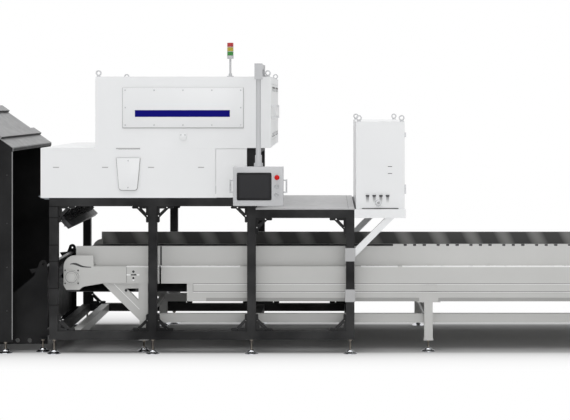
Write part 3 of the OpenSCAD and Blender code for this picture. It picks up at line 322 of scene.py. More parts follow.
finish = {
    "whitePaint": paint("whitePaint", (226, 227, 228), 0.38, dust=0.02, coat=0.15),
    "blackPaint": paint("blackPaint", (28, 28, 29), 0.55, peel=0.1, dust=0.12, gloss=0.08),
    "hoodBlack": paint("hoodBlack", (25, 25, 26), 0.55, peel=0.1, dust=0.05, gloss=0.08),
    # the hood's black paint lightened to grey: painted light from above on the roof, and the painted
    # highlight on the front corner
    "roofPaintedLight": paint("roofPaintedLight", (128, 128, 129), 0.4, peel=0.12, dust=0.1),
    "tableGrey": paint("tableGrey", (170, 170, 171), 0.42),
    "conveyorGrey": paint("conveyorGrey", (189, 189, 187), 0.4, dust=0.04),
    "operatorGrey": paint("operatorGrey", (186, 187, 189), 0.42, peel=0.1, peelScale=420),
    "motorGrey": paint("motorGrey", (112, 118, 124), 0.5, peel=0.14),
    "towerGrey": plastic("towerGrey", (190, 191, 193), 0.35),
    # dark plastic; also laid as painted shade in the head plates' openings, the take-up's hole and seam, and
    # the cabinet's slits
    "darkPlastic": plastic("darkPlastic", (38, 38, 40), 0.5),
    "buttonGrey": plastic("buttonGrey", (164, 166, 168), 0.32, coat=0.2),
    "stopRed": plastic("stopRed", (196, 10, 10), 0.42, gloss=0.2),
    "screenFrame": plastic("screenFrame", (24, 24, 26), 0.4, gloss=0.15),
    "screenGlass": plastic("screenGlass", (27, 27, 30), 0.22, coat=0.05, texture=0, gloss=0.2),
    "lensGreen": lens("lensGreen", (10, 136, 26)),
    "lensAmber": lens("lensAmber", (184, 166, 6)),
    "lensRed": lens("lensRed", (182, 8, 14)),
    "chrome": metal("chrome", (214, 216, 220), 0.14, bump=0.02, stain=0.06),
    "brightSteel": metal("brightSteel", (190, 191, 193), 0.3, (0.05, 1, 1), 160),
    "rodSteel": metal("rodSteel", (128, 122, 114), 0.36, (1, 1, 0.05), 200),
    "splitterSteel": metal("splitterSteel", (104, 104, 106), 0.42, (1, 0.05, 1), 160),
    "eyeZinc": paint("eyeZinc", (196, 197, 199), 0.3),
    "ejectorGrey": paint("ejectorGrey", (58, 58, 60), 0.42, gloss=0.3),
    # grey of painted shade: outlines round the panels and the cover, and the slots in the head's front; also
    # the joint line there
    "shadeAndJointGrey": paint("shadeAndJointGrey", (158, 158, 158), 0.5, gloss=0.2),
    # grey hem strips on the pan: painted shade on its set-back lower fold
    "hemShadeGrey": paint("hemShadeGrey", (158, 158, 156), 0.5, gloss=0.2),
    "hoodLip": paint("hoodLip", (58, 58, 59), 0.5, gloss=0.1),
    "jointBlack": paint("jointBlack", (10, 10, 10), 0.7, gloss=0.05),
    # pale white: the take-up's strips and pin, and painted highlights on the flanges, folds and gussets
    "paleAndHighlightWhite": paint("paleAndHighlightWhite", (238, 238, 238), 0.3),
    # dark grey of painted shade: lines at the pan's folds and behind the louvre slats
    "shadeDarkGrey": paint("shadeDarkGrey", (92, 92, 92), 0.6, gloss=0.1),
    "beltBlack": rubber("beltBlack", (40, 40, 42)),
    # polished liner: light and dark bands painted as reflections
    "polishedSteel": polished("polishedSteel", (70, 70, 69), (132, 132, 130)),
    "outletFade": fading("outletFade", (120, 120, 121), (226, 227, 228), 1.43, 1.494),
    "navyFilm": plastic("navyFilm", (12, 11, 112), 0.5, gloss=0.05),
}

nodeFinish = {
    "whitePaint": ("lower_housing", "upper_cabinet", "service_panels", "front_covers", "housing_door",
                   "side_door_near", "side_door_far", "console_frame", "control_cabinet",
                   "cabinet_door_near", "cabinet_door_far"),
    "blackPaint": ("frame_posts", "frame_rails", "frame_beams", "corner_brackets", "camera_beam"),
    "hoodBlack": ("hood_walls", "chute_sides"),
    "ejectorGrey": ("ejector_manifold",),
    # hood roof: its black paint shown grey as painted light
    "roofPaintedLight": ("hood_roof",),
    "tableGrey": ("table_plate", "post_clamps"),
    "conveyorGrey": ("side_channels", "end_plates", "lower_pan", "conveyor_legs", "tie_beams",
                     "roller_brackets", "skirts", "flange_bearings"),
    "operatorGrey": ("swivel_collar", "operator_housing", "arm_base", "swing_arm"),
    "motorGrey": ("gearmotor",),
    "towerGrey": ("tower_pole",),
    "darkPlastic": ("cable_glands", "cameras", "light_bars", "control_modules", "ejector_valves"),
    "buttonGrey": ("start_button", "stop_button"),
    "stopRed": ("emergency_stop",),
    "screenFrame": ("operator_screen",),
    "lensGreen": ("tower_green",),
    "lensAmber": ("tower_amber",),
    "lensRed": ("tower_red",),
    "chrome": ("levelling_feet",),
    "eyeZinc": ("lifting_eyes",),
    "brightSteel": ("panel_screws", "operator_handles", "slider_bed",
                    "return_roller_left", "return_roller_right", "mounting_plate"),
    "splitterSteel": ("splitter_flap",),
    "beltBlack": ("belt", "head_drum", "tail_drum"),
}
for finishName, nodeNames in nodeFinish.items():
    for nodeName in nodeNames:
        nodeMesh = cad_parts[nodeName].data
        nodeMesh.materials.clear()
        nodeMesh.materials.append(finish[finishName])
print("finishes laid on", sum(len(names) for names in nodeFinish.values()), "nodes")


# piece making, all in millimetres from the frame's left front corner
frameDepth = 1980  # from the frame's near face to its far face
upward = (0, 0, 1)


def bothFaces(inset):
    # depth of a face on the near and on the far side, each with the way that it looks
    return (inset, -1), (frameDepth - inset, 1)


def bothSlabs(front, back):
    # depths of a slab on the near side and of its mirror image on the far side
    return (front, back), (frameDepth - back, frameDepth - front)


def turnTo(direction):
    return Vector(upward).rotation_difference(direction).to_matrix().to_4x4()


def roundEdges(bm, edges, radius, steps):
    bmesh.ops.bevel(bm, geom=edges, offset=radius / 1000, segments=steps, profile=0.5,
                    affect="EDGES", material=-1)


def edgesOf(verts):
    return list({edge for vert in verts for edge in vert.link_edges})


def addBlock(bm, low, high, rounding=0, steps=2):
    a, b = at(*low), at(*high)
    size = b - a
    shape = Matrix.Translation((a + b) / 2) @ Matrix.Diagonal((size.x, size.y, size.z, 1))
    made = bmesh.ops.create_cube(bm, size=1, matrix=shape)
    if rounding:
        roundEdges(bm, edgesOf(made["verts"]), rounding, steps)


def addTurned(bm, place, axis, profile, steps=24):
    # profile of (radius, height) pairs spun about the axis through place
    origin, direction = at(*place), Vector(axis)
    move = Matrix.Translation(origin) @ turnTo(direction)
    points = [Vector((radius / 1000, 0, height / 1000)) for radius, height in profile]
    verts = [bm.verts.new(move @ point) for point in points]
    edges = [bm.edges.new(pair) for pair in zip(verts, verts[1:])]
    bmesh.ops.spin(bm, geom=verts + edges, cent=origin, axis=direction, angle=2 * math.pi,
                   steps=steps, use_merge=True)


def addPrism(bm, outline, front, back, rounding=0, steps=2):
    # outline of (x, z) pairs, from depth front to depth back
    face = bm.faces.new([bm.verts.new(at(x, front, z)) for x, z in outline])
    made = bmesh.ops.extrude_face_region(bm, geom=[face])
    moved = [item for item in made["geom"] if isinstance(item, bmesh.types.BMVert)]
    bmesh.ops.translate(bm, verts=moved, vec=(0, (back - front) / 1000, 0))
    if rounding:
        roundEdges(bm, list(face.edges), rounding, steps)


def addHexagon(bm, place, across, height):
    # upright nut, by its width over the flats
    move = Matrix.Translation(at(*place) + Vector(upward) * height / 2000)
    radius = across / 1732
    made = bmesh.ops.create_cone(bm, cap_ends=True, segments=6, radius1=radius, radius2=radius,
                                 depth=height / 1000, matrix=move)
    roundEdges(bm, edgesOf(made["verts"]), across / 26, 1)


def rounded(x0, z0, x1, z1, radius, steps=5):
    # outline of a rectangle with round corners
    corners = ((x1 - radius, z1 - radius, 0), (x0 + radius, z1 - radius, 90),
               (x0 + radius, z0 + radius, 180), (x1 - radius, z0 + radius, 270))
    outline = []
    for x, z, start in corners:
        for i in range(steps + 1):
            angle = math.radians(start + 90 * i / steps)
            outline.append((x + radius * math.cos(angle), z + radius * math.sin(angle)))
    return outline


def makePiece(name, bm, look, body="machine", hides=(), crease=32):
    # closes doubles, keeps edges sharper than the crease, and puts the piece on its body
    bmesh.ops.remove_doubles(bm, verts=bm.verts, dist=1e-6)
    bmesh.ops.recalc_face_normals(bm, faces=bm.faces)
    for face in bm.faces:
        face.smooth = True
    for edge in bm.edges:
        edge.smooth = edge.calc_face_angle(math.pi) < math.radians(crease)
    data = bpy.data.meshes.new(name)
    bm.to_mesh(data)
    bm.free()
    data.materials.append(finish[look])
    piece = bpy.data.objects.new(name, data)
    scene.collection.objects.link(piece)
    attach(piece, body)
    if hides:
        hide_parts(*hides)
    return piece


# levelling feet: pressed cone, boss, threaded rod and lock nut
footSettings = {
    "places": [(i * 940 + 40, y, 138) for i in range(4) for y in (40, 1940)]
    + [(x, y, 109) for x in (-1531, -431) for y in (76, 1904)]
    + [(x, y, 120) for x in (-90, -570) for y in (157.5, 1822.5)]
    + [(x, y, 110) for x in (880, 3613, 5700) for y in (174, 1806)],
    "base": [(0, 0), (66, 0), (66, 4), (63, 7), (42, 16), (35, 20), (33, 27), (27, 34), (17, 39), (0, 41)],
    "rod": 10, "rodLow": 38, "gap": 0.2, "nut": 34, "nutHeight": 16,
    "thread": 5, "threadLow": 44, "threadDepth": 1.4, "threadEnd": 20, "plain": 17,
}
feet, rods = bmesh.new(), bmesh.new()
rod, pitch, nutHeight = footSettings["rod"], footSettings["thread"], footSettings["nutHeight"]
for x, y, top in footSettings["places"]:
    addTurned(feet, (x, y, 0), upward, footSettings["base"], steps=32)
    profile = [(0, footSettings["rodLow"]), (rod, footSettings["rodLow"])]
    level = footSettings["threadLow"]
    while level < top - footSettings["threadEnd"]:
        profile += [(rod, level), (rod - footSettings["threadDepth"], level + pitch / 2)]
        level += pitch
    end = top - footSettings["gap"]
    profile += [(rod, top - footSettings["plain"]), (rod, end), (0, end)]
    addTurned(rods, (x, y, 0), upward, profile, steps=20)
    addHexagon(rods, (x, y, top - nutHeight - footSettings["gap"]), footSettings["nut"], nutHeight)
makePiece("levellingFeet", feet, "chrome", hides=("levelling_feet",))
makePiece("footRods", rods, "rodSteel")

# screws of the white panels, with a round socket
screwSettings = {"head": [(0, 1.6), (3.6, 1.6), (3.6, 4), (5.8, 4), (7, 2.6), (7, 0)], "seat": -12,
                 "first": 723, "pitch": 274.25, "columns": 5, "rows": (2177, 2508),
                 "ends": (723, 1820), "middle": 2342.5,
                 "covers": ((751, -24, 1584), (751, -12, 1840), (1251.9, -12, 2083), (1291.1, -12, 2083))}
screwHead = screwSettings["head"]
screws = bmesh.new()
for seat, side in bothFaces(screwSettings["seat"]):
    for i in range(screwSettings["columns"]):
        x = screwSettings["first"] + i * screwSettings["pitch"]
        for z in screwSettings["rows"]:
            addTurned(screws, (x, seat, z), (0, side, 0), screwHead, steps=12)
    for x in screwSettings["ends"]:
        addTurned(screws, (x, seat, screwSettings["middle"]), (0, side, 0), screwHead, steps=12)
for place in screwSettings["covers"]:
    addTurned(screws, place, (0, -1, 0), screwHead, steps=12)
makePiece("panelScrews", screws, "brightSteel", hides=("panel_screws",))

# raised service panels with folded edges, a grey outline round each as their painted shadow, and a plain
# navy stripe on the front one
panelSettings = {"low": (699, 2153), "high": (1844, 2532), "proud": 12, "sunk": 0.5, "fold": 4,
                 "shadowProud": 7, "shadowSide": 3, "shadowLow": 6, "shadowHigh": 1,
                 "stripe": (815, 2254, 1717, 2319), "film": 0.4}
panels, panelShadowOutline, stripe = bmesh.new(), bmesh.new(), bmesh.new()
(x0, z0), (x1, z1) = panelSettings["low"], panelSettings["high"]
proud, shadowMargin = panelSettings["proud"], panelSettings["shadowSide"]
for front, back in bothSlabs(-proud, panelSettings["sunk"]):
    addBlock(panels, (x0, front, z0), (x1, back, z1), rounding=panelSettings["fold"], steps=3)
# grey plate a little larger than each panel, showing as a painted shadow round its edges
for front, back in bothSlabs(-panelSettings["shadowProud"], panelSettings["sunk"]):
    addBlock(panelShadowOutline, (x0 - shadowMargin, front, z0 - panelSettings["shadowLow"]),
             (x1 + shadowMargin, back, z1 + panelSettings["shadowHigh"]))
x0, z0, x1, z1 = panelSettings["stripe"]
addBlock(stripe, (x0, -proud - panelSettings["film"], z0), (x1, -proud, z1))
makePiece("servicePanels", panels, "whitePaint", hides=("service_panels",))
makePiece("panelShadowOutline", panelShadowOutline, "shadeAndJointGrey")

# slots in the head's front and its one joint line, as grey strips each on a flush sheet; the slots' grey is
# painted shade
slotSettings = {"x": (36, 502, 939, 1414), "z": 1775, "length": 57, "half": 4, "proud": 0.8, "back": 0.2,
                "joint": (634, 864, 1955), "jointSpare": 150,
                "sheetSpare": 14, "sheetHalf": 8, "sheetProud": 0.4}
slotFill, frontSlotShadesAndJoint = bmesh.new(), bmesh.new()
half, sheetHalf, back = slotSettings["half"], slotSettings["sheetHalf"], slotSettings["back"]
slotRows = [(x, x + slotSettings["length"], slotSettings["z"], slotSettings["sheetSpare"])
            for x in slotSettings["x"]]
slotRows.append((*slotSettings["joint"], slotSettings["jointSpare"]))
for low, high, z, spare in slotRows:
    addBlock(frontSlotShadesAndJoint, (low, -slotSettings["proud"], z - half), (high, back, z + half))
    addBlock(slotFill, (low - slotSettings["sheetSpare"], -slotSettings["sheetProud"], z - sheetHalf),
             (high + spare, back, z + sheetHalf))
makePiece("slotFill", slotFill, "whitePaint")
makePiece("frontSlotShadesAndJoint", frontSlotShadesAndJoint, "shadeAndJointGrey")
makePiece("navyStripe", stripe, "navyFilm")

# sloping cover over the lamp tube end, and the round lock tongue below the panel
coverSettings = {"centre": 751, "topWidth": 224, "lowWidth": 173, "low": 1560, "high": 1864, "corner": 28,
                 "sweep": 85, "steps": 6, "proud": 12, "sunk": 0.5, "lean": 14,
                 "shadowSide": 4, "shadowLow": 6, "shadowProud": 9, "tongue": (1271.5, 2063.5), "tongueRadius": 35}
centre, corner = coverSettings["centre"], coverSettings["corner"]
halfTop, halfLow = coverSettings["topWidth"] / 2, coverSettings["lowWidth"] / 2
bottom, top = coverSettings["low"], coverSettings["high"]
coverOutline = [(centre - halfTop, top)]
for side, start in ((-1, 270 - coverSettings["sweep"]), (1, 270)):
    for i in range(coverSettings["steps"] + 1):
        angle = math.radians(start + i * coverSettings["sweep"] / coverSettings["steps"])
        coverOutline.append((centre + side * (halfLow - corner) + corner * math.cos(angle),
                             bottom + corner * (1 + math.sin(angle))))
coverOutline.append((centre + halfTop, top))
cover, coverShadowOutline = bmesh.new(), bmesh.new()
addPrism(cover, coverOutline, -coverSettings["proud"], coverSettings["sunk"], rounding=4, steps=3)
for vert in cover.verts:  # the cover leans out towards its foot
    if vert.co.y < at(0, -1, 0).y:
        vert.co.y -= coverSettings["lean"] / 1000 * (top / 1000 - vert.co.z) / ((top - bottom) / 1000)
x, z = coverSettings["tongue"]
radius = coverSettings["tongueRadius"]
tongue = [(x + radius * math.cos(math.radians(angle)), z + radius * math.sin(math.radians(angle)))
          for angle in range(180, 361, 12)]
tongue += [(x + radius, z + radius), (x - radius, z + radius)]
addPrism(cover, tongue, -coverSettings["proud"], coverSettings["sunk"], rounding=3, steps=2)
makePiece("frontCovers", cover, "whitePaint", hides=("front_covers",))
# grey outline round the cover: painted shadow at its sides and foot
shadowOutline = [(x + (coverSettings["shadowSide"] if x > centre else -coverSettings["shadowSide"]),
               z - (coverSettings["shadowLow"] if z < top else 0)) for x, z in coverOutline]
addPrism(coverShadowOutline, shadowOutline, -coverSettings["shadowProud"], coverSettings["sunk"])
makePiece("coverShadowOutline", coverShadowOutline, "shadeAndJointGrey")
print("head pieces ready")

# operator panel: folded housing in two shells, screen in a moulded frame, buttons in their rings
operatorSettings = {"low": (1788, -640, 1453), "high": (2244, -520, 1806), "corner": 7, "backCorner": 1.5,
                    "split": (-525, -524.4), "core": (-526, -523), "coreInset": 8,
                    "screen": (1823, 1504, 2138, 1755), "screenCorner": 12, "screenFront": -646,
                    "screenFold": 2.5, "glassInset": 22, "glassCorner": 4, "glass": (-646.6, -645.8),
                    "glassFold": 0.3}
(x0, front, z0), (x1, back, z1) = operatorSettings["low"], operatorSettings["high"]
frontEnd, backStart = operatorSettings["split"]
coreFront, coreBack = operatorSettings["core"]
inset = operatorSettings["coreInset"]
housing = bmesh.new()
addBlock(housing, (x0, front, z0), (x1, frontEnd, z1), rounding=operatorSettings["corner"], steps=3)
addBlock(housing, (x0, backStart, z0), (x1, back, z1), rounding=operatorSettings["backCorner"], steps=2)
addBlock(housing, (x0 + inset, coreFront, z0 + inset), (x1 - inset, coreBack, z1 - inset))
makePiece("operatorHousing", housing, "operatorGrey", "operator_panel",
          ("operator_housing",))
screenFrame, glass = bmesh.new(), bmesh.new()
x0, z0, x1, z1 = operatorSettings["screen"]
addPrism(screenFrame, rounded(x0, z0, x1, z1, operatorSettings["screenCorner"]),
         operatorSettings["screenFront"], front, rounding=operatorSettings["screenFold"], steps=3)
inset = operatorSettings["glassInset"]
addPrism(glass, rounded(x0 + inset, z0 + inset, x1 - inset, z1 - inset, operatorSettings["glassCorner"]),
         *operatorSettings["glass"], rounding=operatorSettings["glassFold"], steps=1)
makePiece("screenFrame", screenFrame, "screenFrame", "operator_panel", ("operator_screen",))
makePiece("screenGlass", glass, "screenGlass", "operator_panel")

buttonSettings = {
    "x": 2187, "stopZ": 1712,
    "grey": (("startButton", "start_button", 1630), ("stopButton", "stop_button", 1555)),
    "stopRing": [(24, 0), (27, 0), (27, 3), (26, 5), (24, 5), (24, 0)],
    "greyRing": [(18, 0), (22, 0), (22, 3), (20, 5), (18, 5), (18, 0)],
    "mushroom": [(0, -26), (11, -26), (11, 9), (21, 9), (23, 12), (23, 17), (22, 22), (18, 27), (11, 30),
                 (0, 31)],
    "button": [(0, -26), (11, -26), (11, 6), (16, 6), (17, 8), (17, 14), (15.5, 16), (13, 16), (11, 14.6),
               (0, 14)],
}
rings, mushroom = bmesh.new(), bmesh.new()
stopPlace = (buttonSettings["x"], front, buttonSettings["stopZ"])
addTurned(rings, stopPlace, (0, -1, 0), buttonSettings["stopRing"], steps=32)
for name, body, z in buttonSettings["grey"]:
    addTurned(rings, (buttonSettings["x"], front, z), (0, -1, 0), buttonSettings["greyRing"], steps=32)
makePiece("buttonRings", rings, "brightSteel", "operator_panel")
addTurned(mushroom, stopPlace, (0, -1, 0), buttonSettings["mushroom"], steps=40)
makePiece("emergencyStop", mushroom, "stopRed", "emergency_stop", ("emergency_stop",), 40)
for name, body, z in buttonSettings["grey"]:
    button = bmesh.new()
    addTurned(button, (buttonSettings["x"], front, z), (0, -1, 0), buttonSettings["button"], steps=32)
    makePiece(name, button, "buttonGrey", body, (body,), 40)
print("operator panel ready")

# signal tower: ribbed lenses between thin rings, and the collar at the pole's foot
towerSettings = {"place": (1715, 80), "low": 2836, "lens": 42, "foot": 2637, "seat": 3,
                 "valley": 30, "ridge": 31, "ribs": 7, "ribLow": 4, "ribPitch": 5,
                 "top": [(30.5, 39), (28, 41.6), (0, 41.8)], "joint": [(30.5, 39), (0, 39)],
                 "ring": [(0, -1.5), (30.6, -1.5), (30.6, 3), (0, 3)],
                 "collar": [(10.2, 8), (18, 8), (16, 26), (12, 34), (10.2, 34), (10.2, 8)]}
towerX, towerY = towerSettings["place"]
valley, ribPitch = towerSettings["valley"], towerSettings["ribPitch"]
towerRings = bmesh.new()
for level, colour in enumerate(("Green", "Amber", "Red")):
    place = (towerX, towerY, towerSettings["low"] + level * towerSettings["lens"])
    profile = [(0, towerSettings["seat"]), (valley, towerSettings["seat"])]
    for i in range(towerSettings["ribs"]):
        rib = towerSettings["ribLow"] + i * ribPitch
        profile += [(towerSettings["ridge"], rib), (valley, rib + ribPitch / 2)]
    profile += towerSettings["top"] if colour == "Red" else towerSettings["joint"]
    shade = bmesh.new()
    addTurned(shade, place, upward, profile, steps=36)
    makePiece("lens" + colour, shade, "lens" + colour,
              hides=("tower_" + colour.lower(),))
    addTurned(towerRings, place, upward, towerSettings["ring"], steps=36)
addTurned(towerRings, (towerX, towerY, towerSettings["foot"]), upward, towerSettings["collar"], steps=24)
makePiece("towerRings", towerRings, "towerGrey")
print("signal tower ready")

# polished liners on the inner faces of the belt's side guides, with painted reflections
linerSettings = {"x": (236, 6146), "z": (878, 1005), "depth": (206, 207.5), "fold": 0.5}
liners = bmesh.new()
(x0, x1), (z0, z1) = linerSettings["x"], linerSettings["z"]
for front, back in bothSlabs(*linerSettings["depth"]):
    addBlock(liners, (x0, front, z0), (x1, back, z1), rounding=linerSettings["fold"], steps=1)
makePiece("guideLiners", liners, "polishedSteel")

# conveyor ends: dark bolt sockets and cover ring on the bearings, painted shade in the plate's window and
# slot
headSettings = {"drums": ((191, 1), (6191, -1)), "z": 719.7, "plate": 130,
                "bolts": 62.5, "socketFace": 8, "socket": [(0, 0), (7.5, 0), (7.5, 0.6), (0, 0.6)],
                "ringFace": 22.3, "ring": [(54, 0), (57, 0), (57, 0.5), (54, 0.5), (54, 0)],
                "window": (-25, 195), "windowZ": (84, 133), "windowDepth": (12.4, 13),
                "slot": ((-17, 120), (0, 124), (20, 125), (40, 122), (60, 115), (85, 104), (110, 97),
                         (146, 93), (186, 92)),
                "slotWidth": (2, 5, 8, 10.5, 11, 9, 7, 5, 4), "slotProud": 0.4}
headDark = bmesh.new()
drumZ, bolts = headSettings["z"], headSettings["bolts"]
for x, turn in headSettings["drums"]:
    for face, side in bothFaces(headSettings["plate"]):
        socketY = face + side * headSettings["socketFace"]
        for i in (-1, 1):
            for k in (-1, 1):
                addTurned(headDark, (x + i * bolts, socketY, drumZ + k * bolts), (0, side, 0),
                          headSettings["socket"], steps=12)
        addTurned(headDark, (x, face + side * headSettings["ringFace"], drumZ), (0, side, 0),
                  headSettings["ring"], steps=40)
        x0, x1 = sorted(x + end * turn for end in headSettings["window"])
        y0, y1 = sorted(face - side * depth for depth in headSettings["windowDepth"])
        z0, z1 = headSettings["windowZ"]
        addBlock(headDark, (x0, y0, drumZ + z0), (x1, y1, drumZ + z1))
        path = [(x + turn * dx, drumZ + dz, wide)
                for (dx, dz), wide in zip(headSettings["slot"], headSettings["slotWidth"])]
        outline = [(px, pz + wide) for px, pz, wide in path]
        outline += [(px, pz - wide) for px, pz, wide in reversed(path)]
        addPrism(headDark, outline, *sorted((face, face + side * headSettings["slotProud"])))
makePiece("headShade", headDark, "darkPlastic")

# belt take-up: pale strips and pin, dark screw, painted shade in the hole and along the seam at the arm's
# end, and the joint in the side guide
takeUpSettings = {"strips": ((716, 756), (812, 840)), "stripZ": (732, 745), "proud": 0.8,
                  "pin": (783, 688, 9), "pinHeight": 4, "pinEdge": 1,
                  "holes": ((799, 740, 8), (782, 769, 12)), "holeProud": 1,
                  "seam": (715, 717.5), "seamZ": (663, 812),
                  "joint": (1031, 1047), "jointZ": (823, 1006), "jointDepth": (199.2, 200)}
takeUp, takeUpDark = bmesh.new(), bmesh.new()
for face, side in bothFaces(headSettings["plate"]):
    front, back = sorted((face, face + side * takeUpSettings["proud"]))
    z0, z1 = takeUpSettings["stripZ"]
    for low, high in takeUpSettings["strips"]:
        addBlock(takeUp, (low, front, z0), (high, back, z1))
    x, z, radius = takeUpSettings["pin"]
    height, pinEdge = takeUpSettings["pinHeight"], takeUpSettings["pinEdge"]
    addTurned(takeUp, (x, face, z), (0, side, 0),
              [(0, height), (radius - pinEdge, height), (radius, height - pinEdge), (radius, 0)], steps=16)
    height = takeUpSettings["holeProud"]
    for x, z, radius in takeUpSettings["holes"]:
        addTurned(takeUpDark, (x, face, z), (0, side, 0),
                  [(0, height), (radius, height), (radius, 0)], steps=16)
    (x0, x1), (z0, z1) = takeUpSettings["seam"], takeUpSettings["seamZ"]
    addBlock(takeUpDark, (x0, front, z0), (x1, back, z1))
(x0, x1), (z0, z1) = takeUpSettings["joint"], takeUpSettings["jointZ"]
for front, back in bothSlabs(*takeUpSettings["jointDepth"]):
    addBlock(takeUpDark, (x0, front, z0), (x1, back, z1))
makePiece("takeUpPins", takeUp, "paleAndHighlightWhite")
makePiece("takeUpHoles", takeUpDark, "darkPlastic")

# gussets: a painted highlight along the fold and the two dark knobs at the window
gussetSettings = {"x": (481, 840), "top": 649, "fold": 108, "line": 7, "proud": 0.5, "face": 154,
                  "knobs": ((709, 588), (812, 588)),
                  "knob": [(0, 12), (9, 12), (13, 9), (13, -40), (0, -40)]}
gussetFoldHighlights, knobs = bmesh.new(), bmesh.new()
x0, x1 = gussetSettings["x"]
top, line = gussetSettings["top"], gussetSettings["line"]
bend = x0 + gussetSettings["fold"]
low = top - (x1 - bend)
for face, side in bothFaces(gussetSettings["face"]):
    addPrism(gussetFoldHighlights, [(bend, top), (bend + line, top), (x1, low + line), (x1, low)],
             *sorted((face, face + side * gussetSettings["proud"])))
    for x, z in gussetSettings["knobs"]:
        addTurned(knobs, (x, face, z), (0, side, 0), gussetSettings["knob"], steps=20)
makePiece("gussetFoldHighlights", gussetFoldHighlights, "paleAndHighlightWhite")
makePiece("gussetKnobs", knobs, "darkPlastic")

# painted highlights on the channels' upper flanges and below the pan's folds, dark lines of painted shade
# along the pan's fold and field joints, and hems on the pan painted grey as their shade
edgeSettings = {"runs": ((715, 1031), (1048, 1804), (2965, 3317), (3361, 5902)), "lipZ": (813, 821),
                "lipDepth": (129.4, 199), "panDepth": (131.4, 132), "field": (1354, 5890),
                "folds": (655, 581), "lineDrop": (4, 0.4), "lightDrop": (12, 8), "endHalf": 1.5,
                "hems": ((1480, 3522), (3706, 5890)), "hemZ": (486, 517)}
# white strips along the channels' flange edges: painted highlight
channelLipHighlights = bmesh.new()
z0, z1 = edgeSettings["lipZ"]
for low, high in edgeSettings["runs"]:
    for front, back in bothSlabs(*edgeSettings["lipDepth"]):
        addBlock(channelLipHighlights, (low, front, z0), (high, back, z1))
makePiece("channelLipHighlights", channelLipHighlights, "paleAndHighlightWhite")
panShadeLines, foldHighlights, hems = bmesh.new(), bmesh.new(), bmesh.new()
low, high = edgeSettings["field"]
upperFold, lowerFold = edgeSettings["folds"]
endHalf = edgeSettings["endHalf"]
# on the pan: dark lines of painted shade at each fold and at the field's end, a pale painted highlight just
# below each fold, and grey hems painted as shade
for front, back in bothSlabs(*edgeSettings["panDepth"]):
    for z in edgeSettings["folds"]:
        z0, z1 = edgeSettings["lineDrop"]
        addBlock(panShadeLines, (low, front, z - z0), (high, back, z - z1))
        z0, z1 = edgeSettings["lightDrop"]
        addBlock(foldHighlights, (low, front, z - z0), (high, back, z - z1))
    addBlock(panShadeLines, (low - endHalf, front, lowerFold), (low + endHalf, back, upperFold))
    z0, z1 = edgeSettings["hemZ"]
    for x0, x1 in edgeSettings["hems"]:
        addBlock(hems, (x0, front, z0), (x1, back, z1))
makePiece("foldHighlights", foldHighlights, "paleAndHighlightWhite")
makePiece("panHemShades", hems, "hemShadeGrey")
makePiece("panShadeLines", panShadeLines, "shadeDarkGrey")

# splice bands round the left front post, a little proud of the tube, with a dark line at each end
bandSettings = {"levels": ((466, 625), (882, 1036), (1297, 1403)), "proud": 1.6, "tube": 80, "back": 60,
                "lineProud": 0.3, "lineHalf": 3, "lineBack": 58}
bands, spliceLines = bmesh.new(), bmesh.new()
proud, tube, half = bandSettings["proud"], bandSettings["tube"], bandSettings["lineHalf"]
reach = proud + bandSettings["lineProud"]
for low, high in bandSettings["levels"]:
    addBlock(bands, (-proud, -proud, low), (tube + proud, bandSettings["back"], high), rounding=1, steps=2)
    for z in (low, high):
        addBlock(spliceLines, (-reach, -reach, z - half), (tube + reach, bandSettings["lineBack"], z + half))
makePiece("postBands", bands, "blackPaint")
makePiece("spliceLines", spliceLines, "jointBlack")

# screws along the belt's side guides and on the hood's sides
guideSettings = {"x": (403, 783, 1159, 1222, 1718, 2215, 2712, 3209, 3706, 4203, 4700, 5197, 5694),
                 "z": 834, "face": 200, "head": [(0, 3), (3, 3), (3.2, 5), (5.6, 5), (6.5, 3.8), (6.5, 0)]}
guideScrews = bmesh.new()
for x in guideSettings["x"]:
    for face, side in bothFaces(guideSettings["face"]):
        addTurned(guideScrews, (x, face, guideSettings["z"]), (0, side, 0), guideSettings["head"], steps=12)
makePiece("guideScrews", guideScrews, "conveyorGrey")
hoodSettings = {"x": (-410, -1000, -1560), "z": (405, 820, 1238, 1700), "face": 40}
hoodScrews = bmesh.new()
for x in hoodSettings["x"]:
    for z in hoodSettings["z"]:
        for face, side in bothFaces(hoodSettings["face"]):
            addTurned(hoodScrews, (x, face, z), (0, side, 0), screwHead, steps=12)
makePiece("hoodScrews", hoodScrews, "darkPlastic")

# hood: grey lips at the eave and on the roof's ribs, and a painted highlight down the front corner
roofSettings = {"eave": (-356, 1956), "slope": 35, "ribs": (140, 560), "rib": (0.5, 25), "ribFace": (0.1, 1),
                "lift": 6.9, "lip": (6, 6.8), "lipDrop": (30, 3),
                "edge": 9, "edgeProud": 0.8, "edgeLow": 130, "edgeDrop": 34}
hoodLips, hoodCornerHighlight = bmesh.new(), bmesh.new()
y0, y1 = (face for face, side in bothFaces(hoodSettings["face"]))
eaveX, eaveZ = roofSettings["eave"]
(x0, x1), (z0, z1) = roofSettings["lip"], roofSettings["lipDrop"]
addBlock(hoodLips, (eaveX + x0, y0, eaveZ - z0), (eaveX + x1, y1, eaveZ - z1))
slope = math.radians(roofSettings["slope"])
run, rise = math.cos(slope), math.sin(slope)
ribLow, ribHigh = roofSettings["rib"]
for along in roofSettings["ribs"]:
    near, far = (along - step for step in roofSettings["ribFace"])
    corners = ((near, ribLow), (far, ribLow), (far, ribHigh), (near, ribHigh))
    addPrism(hoodLips, [(eaveX - d * run + up * rise, eaveZ + roofSettings["lift"] + d * rise + up * run)
                        for d, up in corners], y0, y1)
makePiece("hoodLips", hoodLips, "hoodLip")
